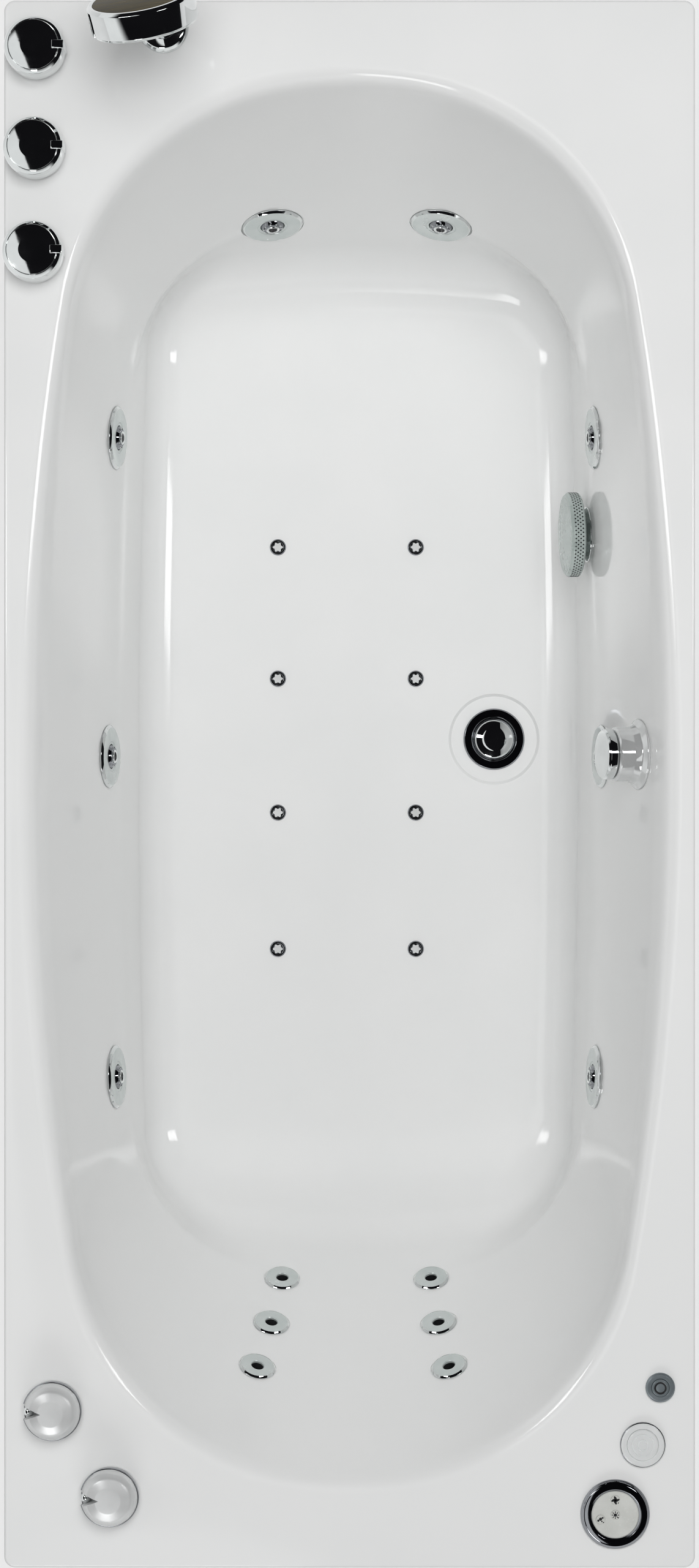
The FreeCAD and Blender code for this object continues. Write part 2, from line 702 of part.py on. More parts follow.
def back_pipes(seats, bodies, feed):
    """The pipe behind each column of back jets, and the cross pipe that feeds both."""
    behind = -size["back_jet_tail"] - size["small_pipe"] + 1
    radius = size["small_pipe"]
    runs, ends = [], []
    for column in (seats[:3], seats[3:]):
        low, high = column[0].multVec(V(0, 0, behind)), column[2].multVec(V(0, 0, behind))
        heading = (high - low).normalize()
        runs.append(rod(radius, low - heading * 16, high + heading * 16))
        ends.append(high + heading * 16)
    cross = rod(radius, V(-135, BACK_FEED_Y, size["water_level"]),
                V(180, BACK_FEED_Y, size["water_level"])).cut(feed)
    columns = [run.cut(cross) for run in runs]
    columns = [max(run.Solids, key=lambda solid: solid.Volume) for run in columns]
    group("back_jet_bodies", [body.cut(columns) for body in bodies])
    cross = max(cross.Solids, key=lambda solid: solid.Volume)
    group("water_pipes", columns + [cross])
    print("back jet columns end at Y", [round(end.y) for end in ends])


def suction_cover():
    """Hollow suction cover: a flat front on a hub, with slots all round its side wall."""
    edge, inner = "suction_radius", "suction_radius - suction_skin"
    cover = lathe("suction_cover", [
        ("20", "0"), ("33", "0"), ("33", "3"), ("29", "6"), ("29", "9"), (edge + " - 2", "9"),
        (edge, "11"), (edge, "25"), (edge + " - 2", "27"), ("0", "28.5"), ("0", "25"),
        (inner, "24.5"), (inner, "12"), ("20", "12")])
    sketch = new_sketch(cover, "YZ_Plane")
    draw(sketch, [("-1.6", "14"), ("1.6", "14"), ("1.6", "22.5"), ("-1.6", "22.5")])
    slot = cover.newObject("PartDesign::Pocket", "one_suction_slot")
    slot.Profile = sketch
    slot.Reversed = True
    slot.setExpression("Length", formula("suction_radius + 5"))
    doc.recompute()
    whole = cover.Shape.Volume
    ring = cover.newObject("PartDesign::PolarPattern", "suction_slots")
    ring.Originals = [slot]
    ring.Axis = (plane(cover, "Z_Axis"), [""])
    ring.Angle = 360
    ring.Occurrences = 28
    cover.Tip = ring
    doc.recompute()
    if cover.Shape.Volume > whole - 100:
        raise RuntimeError("the suction cover has no ring of slots")
    return cover


def suction(place):
    """Suction cover with its stand-off, and the body behind the wall."""
    edge = "suction_radius"
    keep_body(suction_cover(), place)
    body = lathe("one_suction_body", [
        ("18", "0"), ("suction_shank", "0"), ("suction_shank", "-20.6"), ("30", "-21"),
        ("30", "-56"), ("27", "-59"), ("0", "-59"), ("0", "-54"), ("18", "-54")])
    middle = place.multVec(V(0, 0, -44))
    drop = rod(size["suction_pipe"], V(SUCTION_X, SUCTION_LINE_Y, middle.z),
               V(SUCTION_X, SUCTION_LINE_Y, SUCTION_TOP))
    throat = placed(Part.makeCylinder(18, 54, V(0, 0, -54)), place)
    keep("suction_body", placed(body.Shape, place).fuse(drop).cut(throat))
    nut = lathe("one_suction_nut", [
        ("suction_shank + 0.1", "-20"), ("34", "-20"), ("34", "-11.2"),
        ("suction_shank + 0.1", "-11.2")])
    group("wall_lock_nuts", [placed(nut.Shape, place)])


def air_jets(air_lines):
    """Caps in the basin floor and bodies under it."""
    cap = lathe("one_air_cap", [
        ("0", "0"), ("air_cap_radius", "0"), ("air_cap_radius", "1"),
        ("air_cap_radius - 1.2", "2.4"), ("7", "2.4"), ("7", "1.2"), ("5.4", "1.2"),
        ("5.4", "2"), ("0", "2")])
    body = lathe("one_air_body", [
        ("0", "0"), ("air_shank", "0"), ("air_shank", "-17.2"), ("14", "-17.2"),
        ("14", "-28"), ("8", "-30"), ("8", "-60"), ("0", "-60")])
    places = [at(x, y, FLOOR) for x in AIR_JET_X for y in AIR_JET_Y]
    group("air_jet_caps", [placed(cap.Shape, place) for place in places])
    tails = [placed(body.Shape, place).cut(air_lines) for place in places]
    tails = [max(tail.Solids, key=lambda solid: solid.Volume) for tail in tails]
    group("air_jet_bodies", tails)


# ---------------------------------------------------------------- waste and overflow


def waste(hose, cable):
    """Waste flange, pop-up plug and the trap with its outlet."""
    place = at(size["drain_x"], size["drain_y"], DISH)
    edge, throat = "waste_radius", "waste_throat"
    flange = lathe("waste_flange", [
        (throat, "-45"), ("20.5", "-45"), ("20.5", "0"), (edge, "0"), (edge, "1.6"),
        (edge + " - 1.5", "3"), ("27.5", "3"), ("25.4", "1.2"), ("19.5", "1"),
        (throat, "-1")])
    keep_body(flange, place)
    plug = lathe("drain_plug", [
        ("0", "-36"), ("plug_stem", "-36"), ("plug_stem", "-2"), ("12", "-1.5"),
        ("16", "-0.5"), ("16.5", "1.6"), ("plug_radius - 1", "1.8"), ("plug_radius", "3"),
        ("plug_radius - 2", "6.4"),
        ("14", "9.4"), ("0", "10.4")])
    keep_body(plug, place)
    trap = lathe("one_trap", [
        ("20.6", "-7.5"), ("30", "-7.5"), ("30", "-60"), ("34", "-66"), ("34", "-112"),
        ("30", "-118"), ("0", "-118"), ("0", "-54"), ("20.6", "-54")])
    middle = V(size["drain_x"], size["drain_y"], size["trap_out_height"])
    end = middle + ALONG_Y * size["trap_reach"]
    shoulder = end - ALONG_Y * size["waste_pipe_length"]
    collar = rod(size["waste_pipe"] + 4, middle + ALONG_Y * 24, shoulder)
    outlet = rod(size["waste_pipe"], middle + ALONG_Y * 24, end)
    bore = rod(size["waste_pipe"] - 4, middle, end + ALONG_Y)
    chamber = rod(27, middle - UP * 32, middle + UP * 7)
    entry = rod(size["waste_throat"] - 3, middle, middle + UP * 18)
    body = placed(trap.Shape, place).fuse([collar, outlet]).cut([bore, chamber, entry])
    keep("waste_trap", body)
    for label, line in (("overflow_hose", hose), ("plug_cable", cable)):
        rest = line.cut(body)
        keep(label, max(rest.Solids, key=lambda solid: solid.Volume))


def filler(place, supply):
    """Overflow and filler on the wall, its knob, and the housing behind."""
    edge, reach = "filler_radius", "filler_reach"
    front = lathe("overflow_filler", [
        ("0", "-12"), ("18", "-12"), ("18", "0"), (edge, "0"), (edge, "2.5"),
        ("33", "7"), ("30.5", "14"), ("30", reach + " - 2"), ("28", reach),
        ("spindle", reach), ("spindle", reach + " + 9"), ("0", reach + " + 9")])
    keep_body(front, place)
    knob = lathe("overflow_knob", [
        ("spindle_hole", reach + " + 0.6"), ("26", reach + " + 0.6"),
        ("filler_knob_radius", reach + " + 2.6"), ("filler_knob_radius", reach + " + 10"),
        ("26", reach + " + 12.6"), ("0", reach + " + 13.4"), ("0", reach + " + 9.5"),
        ("spindle_hole", reach + " + 9.5")])
    keep_body(knob, place)
    rear = lathe("one_filler_housing", [
        ("18.1", "-12"), ("24", "-12"), ("26", "-14"), ("26", "-32"), ("24", "-34"),
        ("0", "-34"), ("0", "-29"), ("18.1", "-29")])
    middle = place.multVec(V(0, 0, -24.5))
    arm = rod(11, middle - ALONG_Y * 20, V(HOSE_X, HOSE_Y, middle.z))
    drop = rod(11.5, V(HOSE_X, HOSE_Y, middle.z + 10), V(HOSE_X, HOSE_Y, HOSE_TOP))
    inlet = rod(size["small_pipe"] + 1, middle + ALONG_Y * 20,
                V(FILLER_PIPE_X, FILLER_PIPE_END, DECK - 75))
    bore = placed(Part.makeCylinder(18.1, 17, V(0, 0, -29)), place)
    whole = placed(rear.Shape, place).fuse([arm, drop, inlet]).cut([bore] + supply)
    keep("overflow_housing", whole)


# ---------------------------------------------------------------- fittings on the deck


def taps():
    """Flanges, knobs, valve bodies and back nuts of the three deck valves."""
    flange = lathe("one_tap_flange", [
        ("spindle + 1", "0"), ("29", "0"), ("29", "2.5"), ("27", "5"), ("spindle + 1", "5")])
    places = [at(x, y, DECK) for x, y in KNOBS.values()]
    group("tap_flanges", [placed(flange.Shape, place) for place in places])
    for (label, (x, y)) in KNOBS.items():
        knob = lathe(label, [
            ("spindle_hole", "knob_gap"), ("29", "knob_gap"), ("knob_radius", "9"),
            ("knob_radius", "25"), ("31", "30"), ("27", "knob_top - 1"), ("0", "knob_top"),
            ("0", "29"), ("spindle_hole", "29")])
        sketch = new_sketch(knob, "XY_Plane")
        draw(sketch, [("20", "-4.5"), ("knob_radius", "-4.5"), ("knob_radius", "4.5"),
                      ("20", "4.5")])
        lug = knob.newObject("PartDesign::Pad", label + "_pointer")
        lug.Profile = sketch
        lug.setExpression("Length", formula("knob_top + 1.5"))
        doc.recompute()
        clear_pointer_foot(knob, label)
        keep_body(knob, at(x, y, DECK))
    valve = lathe("one_valve", [
        ("0", "28"), ("spindle", "28"), ("spindle", "0"), ("valve_neck", "0"),
        ("valve_neck", "-shell_wall"), ("valve_radius", "-shell_wall"),
        ("valve_radius", "-valve_drop"), ("inlet_radius", "-valve_drop"),
        ("inlet_radius", "-valve_drop - 18"), ("0", "-valve_drop - 18")])
    group("tap_valves", [placed(valve.Shape, place) for place in places])
    nut = lathe("one_valve_nut", [
        ("valve_radius + 0.1", "-shell_wall - 9"), ("26", "-shell_wall - 9"),
        ("26", "-shell_wall"), ("valve_radius + 0.1", "-shell_wall")])
    group("deck_back_nuts", [placed(nut.Shape, place) for place in places])
    level = DECK - 45
    ys = sorted(y for x, y in KNOBS.values())
    x = KNOBS["cold_tap_knob"][0]
    gap = size["valve_radius"] - 1
    links = [rod(7, V(x, low + gap, level), V(x, high - gap, level))
             for low, high in zip(ys, ys[1:])]
    valves = [placed(valve.Shape, place) for place in places]
    group("filler_pipes", [link.cut(valves) for link in links])


def clear_pointer_foot(knob, label):
    """Cut away what the pointer's pad leaves under the knob."""
    sketch = new_sketch(knob, "XY_Plane")
    draw(sketch, [("19", "-5.5"), ("34", "-5.5"), ("34", "5.5"), ("19", "5.5")])
    cut = knob.newObject("PartDesign::Pocket", label + "_foot")
    cut.Profile = sketch
    cut.setExpression("Length", formula("knob_gap"))
    cut.Reversed = True
    doc.recompute()


def hand_shower():
    """Holder in the deck, and the hand shower that stands in it."""
    x, y = HOLDER_AT
    holder = lathe("shower_holder", [
        ("sleeve_bore", "-sleeve_drop"), ("14", "-sleeve_drop"), ("14", "0"),
        ("holder_radius", "0"), ("holder_radius", "4"), ("24", "9"), ("15", "12"),
        ("sleeve_bore", "12")])
    keep_body(holder, at(x, y, DECK))
    handle = lathe("one_shower_handle", [
        ("0", "-140"), ("handle_radius - 2", "-140"), ("handle_radius", "-138"),
        ("handle_radius", "20"), ("13", "44"), ("13", "88"), ("0", "88")])
    head = lathe("one_shower_head", [
        ("0", "-0.5*head_thick"), ("head_radius - 5", "-0.5*head_thick"),
        ("head_radius - 5", "-0.5*head_thick - 0.8"), ("head_radius - 2", "-0.5*head_thick - 0.8"),
        ("head_radius", "-0.5*head_thick + 2"), ("head_radius", "0.5*head_thick - 3"),
        ("head_radius - 3", "0.5*head_thick"), ("0", "0.5*head_thick")])
    lean = V(-0.156, 0.85, 0.5).normalize()
    turned = placed(head.Shape, FreeCAD.Placement(V(-10, -15, 130), FreeCAD.Rotation(UP, lean)))
    keep("hand_shower", handle.Shape.fuse(turned), at(x, y, DECK))


def regulators():
    """Bodies, knobs and nuts of the two air regulators."""
    body = lathe("one_regulator_body", [
        ("0", "-38"), ("9", "-38"), ("9", "-22"), ("15", "-22"), ("15", "0"), ("30", "0"),
        ("30", "4"), ("28", "6"), ("spindle", "6"), ("spindle", "24"), ("0", "24")])
    places = [at(x, y, DECK) for x, y in REGULATORS.values()]
    group("air_regulator_bodies", [placed(body.Shape, place) for place in places])
    nut = lathe("one_regulator_nut", [
        ("15.1", "-shell_wall - 8"), ("23", "-shell_wall - 8"), ("23", "-shell_wall"),
        ("15.1", "-shell_wall")])
    group("deck_back_nuts", [placed(nut.Shape, place) for place in places])
    for label, (x, y) in REGULATORS.items():
        edge, top = "regulator_radius", "regulator_top"
        knob = lathe(label, [
            ("spindle_hole", "6.6"), ("30", "6.6"), (edge, "9"), (edge, "17"),
            (edge + " - 2.5", "25"), ("24", "31"), ("14", top + " - 0.8"), ("0", top),
            ("0", "25"), ("spindle_hole", "25")])
        sketch = new_sketch(knob, "XY_Plane")
        draw(sketch, [("-34", "-6"), ("-21", "-4"), ("-21", "4"), ("-34", "6")])
        scoop = knob.newObject("PartDesign::Pocket", label + "_scoop")
        scoop.Profile = sketch
        scoop.Type = "Length"
        scoop.Length = 60
        scoop.Reversed = True
        doc.recompute()
        keep_body(knob, at(x, y, DECK))


def panel():
    """Bezel, face and keys of the control panel."""
    x, y = PANEL_AT
    bezel = lathe("panel_bezel", [
        ("25.6", "-28"), ("28", "-28"), ("28", "0"), ("panel_radius", "0"),
        ("panel_radius", "3"), ("34", "7.5"), ("28", "8"), ("25.6", "6")])
    keep_body(bezel, at(x, y, DECK))
    face = lathe("one_panel_face", [
        ("0", "-20"), ("panel_face_radius", "-20"), ("panel_face_radius", "5.4"),
        ("panel_face_radius - 1", "6"), ("0", "6")])
    wells = [Part.makeCylinder(size["key_radius"] + 0.08, 6, V(kx, ky, 3))
             for kx, ky in KEYS.values()]
    keep("panel_face", face.Shape.cut(wells), at(x, y, DECK))
    for label, (kx, ky) in KEYS.items():
        key = lathe(label, [("0", "4"), ("key_radius", "4"), ("key_radius", "6.6"),
                            ("key_radius - 0.4", "7"), ("0", "7")])
        keep_body(key, at(x + kx, y + ky, DECK))


def push_button(name, place, bezel_radius, radius, tail, rings):
    """A push button in its bezel."""
    x, y = place
    bezel = lathe(name + "_bezel", [
        ("0", "-34"), (tail, "-34"), (tail, "0"), (bezel_radius, "0"), (bezel_radius, "3"),
        (bezel_radius + " - 2", "5"), (radius + " + 1", "5"), (radius + " + 0.08", "4"),
        (radius + " + 0.08", "-30"), ("0", "-30")])
    group("button_bezels", [placed(bezel.Shape, at(x, y, DECK))])
    top = [("0", "6"), (f"{rings[0]}", "6")]
    for near in rings:
        top += [(f"{near}", "5.2"), (f"{near} + 1", "5.2"), (f"{near} + 1", "6")]
        if near != rings[-1]:
            top.append((f"{near + 3}", "6"))
    outline = [("0", "-18")] + top + [(radius + " - 1", "6"), (radius, "5"), (radius, "-18")]
    button = lathe(name + "_button", outline)
    keep_body(button, at(x, y, DECK))


# ---------------------------------------------------------------- frame


def frame():
    """Board, rails, cross bars, posts, feet and lock nuts."""
    base = Part.makeBox(270, 930, size["board_thick"], V(-135, -405, BOARD_BASE))
    holes = [Part.makeCylinder(size["air_shank"] + 0.3, 30, V(x, y, BOARD_BASE - 5))
             for x in AIR_JET_X for y in AIR_JET_Y]
    holes.append(Part.makeCylinder(size["dish_radius"] + 9, 30,
                                   V(size["drain_x"], size["drain_y"], BOARD_BASE - 5)))
    keep("floor_board", base.cut(holes))
    rail = bar("one_rail", "rail_length", "frame_tube", "frame_wall")
    rails = [placed(rail.Shape, at(side * size["rail_x"], 0, size["rail_height"]))
             for side in (-1, 1)]
    drills = [Part.makeCylinder(3.3, 20, V(x, y, RAIL_TOP - 10)) for x, y in PLATE_SCREWS]
    group("support_frame", [piece.cut(drills) for piece in rails])
    across = FreeCAD.Rotation(UP, 90)
    bars = []
    for y in CROSSBAR_Y + (END_BAR_Y, -END_BAR_Y):
        reach = 728 if abs(y) == END_BAR_Y else 520
        piece = rail.Shape.copy().common(Part.makeBox(100, reach, 100, V(-50, -reach / 2, -10)))
        bars.append(placed(piece, FreeCAD.Placement(V(0, y, RAIL_TOP), across)))
    group("support_frame", bars)
    side = size["post_side"]
    post_base, post_top = RAIL_TOP + size["frame_tube"], DECK - size["shell_wall"]
    post = Part.makeBox(side, side, post_top - post_base, V(-side / 2, -side / 2, post_base))
    group("support_frame", [placed(post, FreeCAD.Placement(V(x, y, 0), FreeCAD.Rotation()))
                        for x in (-POST_X, POST_X) for y in (-END_BAR_Y, END_BAR_Y)])
    foot = lathe("one_foot", [
        ("0", "0"), ("foot_radius", "0"), ("foot_radius", "6"), ("9", "12"),
        ("foot_stem", "12"), ("foot_stem", "rail_height"), ("0", "rail_height")])
    nut = lathe("one_foot_nut", [
        ("foot_stem + 0.1", "rail_height - 9"), ("10", "rail_height - 9"),
        ("10", "rail_height"), ("foot_stem + 0.1", "rail_height")])
    places = [at(s * size["rail_x"], y, 0) for s in (-1, 1) for y in FOOT_Y]
    group("adjustable_feet", [placed(foot.Shape, place) for place in places])
    group("frame_fasteners", [placed(nut.Shape, place) for place in places])


# ---------------------------------------------------------------- pump, blower and pipes

SIDE_PIPE_X = 324
AIR_LINE_X = 338
AIR_LINE_Z = 382
FOOT_PIPE_Y = 700
FOOT_PIPE_Z = 215
AIR_FOOT_Y = 735
AIR_FOOT_Z = 254
BACK_FEED_Y = -707
SUCTION_X = 312
SUCTION_TOP = 240
SUCTION_LINE_Y = 296
HOSE_X, HOSE_Y, HOSE_TOP = 356, -20, 466
FILLER_PIPE_X, FILLER_PIPE_END = 354, 66
PUMP_OUT_X = 165
PLATE_TOP = RAIL_TOP + 4
PLATE_SCREWS = [(s * size["rail_x"], y) for s in (-1, 1) for y in (-765, -615)]


def water_lines():
    """Pipes from the pump to the jets: straights, the corner bends and the pump's riser."""
    radius, level = size["water_pipe"], size["water_level"]
    straights = [rod(radius, V(s * SIDE_PIPE_X, -420, level), V(s * SIDE_PIPE_X, 500, level))
                 for s in (-1, 1)]
    straights.append(rod(radius, V(-140, FOOT_PIPE_Y, FOOT_PIPE_Z), V(140, FOOT_PIPE_Y, FOOT_PIPE_Z)))
    corners = []
    for s in (-1, 1):
        x = s * SIDE_PIPE_X
        corners.append(pipe(radius, [
            V(x, 500, level), V(x, FOOT_PIPE_Y, level), V(x, FOOT_PIPE_Y, FOOT_PIPE_Z),
            V(s * 140, FOOT_PIPE_Y, FOOT_PIPE_Z)], 60))
    riser = pipe(radius, [
        V(SIDE_PIPE_X, -420, level), V(SIDE_PIPE_X, BACK_FEED_Y, level),
        V(PUMP_OUT_X, BACK_FEED_Y, level), V(PUMP_OUT_X, BACK_FEED_Y, PLATE_TOP + 150)], 45)
    group("water_pipes", straights)
    group("water_pipes", corners)
    group("water_pipes", [riser])
    return straights + corners + [riser]


def air_lines():
    """Air tubes of the large jets and hoses from the regulators."""
    radius = size["air_tube"]
    tubes = [rod(radius, V(s * AIR_LINE_X, -420, AIR_LINE_Z), V(s * AIR_LINE_X, 440, AIR_LINE_Z))
             for s in (-1, 1)]
    tubes.append(rod(radius, V(-150, AIR_FOOT_Y, AIR_FOOT_Z), V(150, AIR_FOOT_Y, AIR_FOOT_Z)))
    corners = [pipe(radius, [
        V(s * AIR_LINE_X, 440, AIR_LINE_Z), V(s * AIR_LINE_X, 500, AIR_LINE_Z),
        V(s * 352, 580, 360), V(s * 352, AIR_FOOT_Y, AIR_FOOT_Z),
        V(s * 150, AIR_FOOT_Y, AIR_FOOT_Z)], 30)
        for s in (-1, 1)]
    group("jet_air_tubes", tubes)
    group("jet_air_tubes", corners)
    first, second = REGULATORS.values()
    under = DECK - 38
    hoses = [
        pipe(radius, [V(*first, under), V(*first, 440), V(-AIR_LINE_X, -560, AIR_LINE_Z),
                      V(-AIR_LINE_X, -420, AIR_LINE_Z)]),
        pipe(radius, [V(*second, under), V(*second, 460),
                      V(-200, BACK_FEED_Y, size["water_level"]),
                      V(-135, BACK_FEED_Y, size["water_level"])])]
    group("jet_air_tubes", hoses)
    return tubes + corners


def floor_air():
    """Air pipes under the floor and the hose from the blower."""
    radius, level = size["air_pipe"], size["air_level"]
    low, high = -262, 312
    left, right = AIR_JET_X
    pipes = [rod(radius, V(x, low, level), V(x, high, level)) for x in AIR_JET_X]
    pipes.append(rod(radius, V(left + radius - 1, low + 24, level),
                     V(right - radius + 1, low + 24, level)).cut(pipes[:2]))
    group("floor_air_pipes", pipes)
    group("floor_air_pipes", [pipe(radius, [
        V(-190, -626, 150), V(-190, -560, 150), V(left - 20, -430, level + 2),
        V(left, -340, level), V(left, low, level)])])
    return pipes


def filler_line():
    """Pipe from the diverter round the foot of the bath to the filler."""
    radius, level = size["small_pipe"], DECK - 75
    x, y = KNOBS["diverter_knob"]
    turn, shortest_run = 60, 0.01
    corner = V(FILLER_PIPE_X, y, level)
    runs = [
        pipe(radius, [V(x + size["valve_radius"], y, DECK - 50), V(x + 45, y, DECK - 50),
                      V(x + 110, y, level), V(-150, y, level)]),
        rod(radius, V(-150, y, level), corner - ALONG_X * turn),
        rod(radius, corner - ALONG_Y * turn, V(FILLER_PIPE_X, FILLER_PIPE_END, level)),
        pipe(radius, [corner - ALONG_X * turn, corner, corner - ALONG_Y * turn],
             turn - shortest_run),
    ]
    group("filler_pipes", runs)
    return runs


def pump():
    """Pump with its motor, plate and screws, and the suction pipe."""
    y, middle = size["pump_y"], PLATE_TOP + 78
    plate = block(V(-260, -780, RAIL_TOP), V(260, -600, PLATE_TOP))
    drills = [Part.makeCylinder(3.3, 20, V(x, py, RAIL_TOP - 5)) for x, py in PLATE_SCREWS]
    keep("pump_plate", plate.cut(drills))
    motor = Part.makeCylinder(size["motor_radius"], 180, V(-80, y, middle), ALONG_X)
    motor = motor.makeFillet(6, [e for e in motor.Edges if isinstance(e.Curve, Part.Circle)])
    cradle = block(V(-60, y - 45, PLATE_TOP), V(80, y + 45, middle - 30))
    keep("pump_motor", motor.fuse(cradle).removeSplitter())
    keep("pump_wet_end", pump_housing(y, middle))
    radius = size["suction_pipe"]
    keep("suction_pipe", pipe(radius, [
        V(SUCTION_X, SUCTION_LINE_Y, SUCTION_TOP), V(SUCTION_X, SUCTION_LINE_Y, middle),
        V(SUCTION_X, y, middle), V(222, y, middle)], 40))


def pump_housing(y, middle):
    """Volute of the pump with its inlet and outlet spigots."""
    volute = Part.makeCylinder(66, 78, V(104, y, middle), ALONG_X)
    volute = volute.makeFillet(8, [e for e in volute.Edges if isinstance(e.Curve, Part.Circle)])
    inlet = rod(29, V(170, y, middle), V(222, y, middle))
    outlet = rod(18, V(PUMP_OUT_X, y, middle), V(PUMP_OUT_X, y, PLATE_TOP + 150))
    foot = block(V(125, y - 40, PLATE_TOP), V(160, y + 40, middle - 40))
    return volute.fuse([inlet, outlet, foot]).removeSplitter()


def blower():
    """Air blower on the pump plate."""
    base = V(-190, -690, PLATE_TOP)
    drum = Part.makeCylinder(size["blower_radius"], 92, base)
    drum = drum.makeFillet(10, [e for e in drum.Edges if e.BoundBox.ZMin > PLATE_TOP + 80])
    cap = Part.makeCylinder(34, 108, base)
    spout = rod(16, V(-190, -660, 150), V(-190, -626, 150))
    return drum.fuse([cap, spout]).removeSplitter()


def screws():
    """Screws that hold the pump plate to the rails."""
    screw = Part.makeCylinder(3.2, 14, V(0, 0, -14)).fuse(Part.makeCylinder(6, 4))
    group("frame_fasteners", [placed(screw, at(x, y, PLATE_TOP)) for x, y in PLATE_SCREWS])


def control_box():
    """Control box on the foot-end cross bar, with its mains gland."""
    low, high = V(-290, 768, RAIL_TOP + size["frame_tube"]), V(-120, 843, 290)
    box = block(low, high)
    box = box.makeFillet(6, [e for e in box.Edges if e.Length < 80 and e.BoundBox.YLength > 60])
    keep("control_box", box.cut(Part.makeCylinder(8.2, 30, V(low.x - 5, 800, 190), ALONG_X)))
    gland = lathe("mains_gland", [
        ("gland_bore", "-24"), ("8", "-24"), ("8", "0"), ("11", "0"), ("11", "6"),
        ("9", "16"), ("gland_bore", "16")])
    keep_body(gland, at(low.x, 800, 190, ALONG_X * -1))


# ---------------------------------------------------------------- assembly


def build():
    """Make every sub-part."""
    blank, basin = plain_shell()
    seats = wall_seats(basin)
    keep("tub_shell", drilled_shell(blank, seats))
    frame()
    water = water_lines()
    air = air_lines()
    large_jets(seats["jets"], water, air)
    back_pipes(seats["back_jets"], back_jets(seats["back_jets"]), water[-1])
    suction(seats["suction"])
    air_jets(floor_air())
    hose = pipe(size["overflow_hose"], [
        V(HOSE_X, HOSE_Y, HOSE_TOP), V(HOSE_X, HOSE_Y, 150), V(318, -8, 118),
        V(180, 48, 118)])
    cable = pipe(size["cable_radius"], [
        V(352, 33, 466), V(352, 33, 200), V(300, 48, 112), V(185, 62, 110)])
    waste(hose, cable)
    filler(seats["filler"], filler_line())
    taps()
    hand_shower()
    regulators()
    panel()
    push_button("start", START_AT, "start_bezel", "start_radius", "20", (5, 10))
    push_button("light", LIGHT_AT, "light_bezel", "light_radius", "11", (5,))
    pump()
    keep("air_blower", blower())
    screws()
    control_box()
    for label, shapes in shared.items():
        keep(label, Part.makeCompound(shapes))
    for place in seats["jets"]:
        print("jet seat", place.Base, place.Rotation.multVec(UP))
    for name in ("suction", "filler"):
        print(name, seats[name].Base, seats[name].Rotation.multVec(UP))


def check_and_write():
    """Stop on any failed object, then write each sub-part."""
    doc.recompute()
    for item in doc.Objects:
        if "Invalid" in item.State or "Error" in item.State:
            raise RuntimeError(f"{item.Label} failed: {item.State}")
    os.makedirs("parts", exist_ok=True)
    for item in nodes:
        shape = item.Shape
        if shape.isNull() or not shape.isValid() or not shape.Solids:
            raise RuntimeError(f"{item.Label} has no valid shape")
        shape.exportStep(f"parts/{item.Label}.step")
    print(len(nodes), "sub-parts")


build()
check_and_write()
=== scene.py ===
"""Looks of the jetted bathtub: smooth acrylic, mirror chrome and the fittings' details.

X runs across the bath, Y from the backrest to the foot end, and Z up from the room's floor.
Lengths are in millimetres, apart from the lamps, the camera and the materials, in metres.
"""

import json
import math

import bmesh
import bpy
from mathutils import Matrix, Vector

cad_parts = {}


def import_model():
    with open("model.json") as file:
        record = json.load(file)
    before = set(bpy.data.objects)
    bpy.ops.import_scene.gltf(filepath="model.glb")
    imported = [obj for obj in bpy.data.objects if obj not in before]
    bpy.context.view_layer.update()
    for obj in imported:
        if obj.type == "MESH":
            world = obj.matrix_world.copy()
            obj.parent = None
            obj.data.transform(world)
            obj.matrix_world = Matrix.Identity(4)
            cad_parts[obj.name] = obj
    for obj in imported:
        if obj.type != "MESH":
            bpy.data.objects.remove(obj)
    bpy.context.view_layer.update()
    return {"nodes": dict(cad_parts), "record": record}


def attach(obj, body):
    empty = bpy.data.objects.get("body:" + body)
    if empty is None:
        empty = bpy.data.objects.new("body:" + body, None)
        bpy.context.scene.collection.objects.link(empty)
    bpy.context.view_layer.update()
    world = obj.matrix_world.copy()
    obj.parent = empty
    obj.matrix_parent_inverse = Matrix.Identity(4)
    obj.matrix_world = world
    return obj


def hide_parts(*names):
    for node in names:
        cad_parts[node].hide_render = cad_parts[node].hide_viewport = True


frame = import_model()

MM = 0.001
DECK = 580.0  # height of the deck
FLOOR = 150.0  # height of the basin's floor
DISH = 146.0  # height of the dish round the drain
BASIN_DEPTH = 430
SKIN = 6  # thickness of the shell
HALF_WIDTH, HALF_LENGTH, DECK_CORNER = 375, 850, 12
LIP, LIP_ROUND = 40, 3  # height and upper rounding of the deck's downturned edge


# ---------------------------------------------------------------- materials


def new_material(name):
    """A node material, its tree and its Principled shader."""
    mat = bpy.data.materials.new(name)
    mat.use_nodes = True
    tree = mat.node_tree
    shader = tree.nodes["Principled BSDF"]
    return mat, tree, shader


def noise(tree, scale, detail=3.0):
    """Noise over object coordinates."""
    coords = tree.nodes.new("ShaderNodeTexCoord")
    tex = tree.nodes.new("ShaderNodeTexNoise")
    tex.inputs["Scale"].default_value = scale
    tex.inputs["Detail"].default_value = detail
    tree.links.new(coords.outputs["Object"], tex.inputs["Vector"])
    return tex.outputs["Fac"]


def spread(tree, value, low, high, clip=(0.3, 0.7)):
    """Map a noise value, of which clip is the used part, onto a range."""
    node = tree.nodes.new("ShaderNodeMapRange")
    node.inputs["From Min"].default_value = clip[0]
    node.inputs["From Max"].default_value = clip[1]
    node.inputs["To Min"].default_value = low
    node.inputs["To Max"].default_value = high
    tree.links.new(value, node.inputs["Value"])
    return node.outputs["Result"]


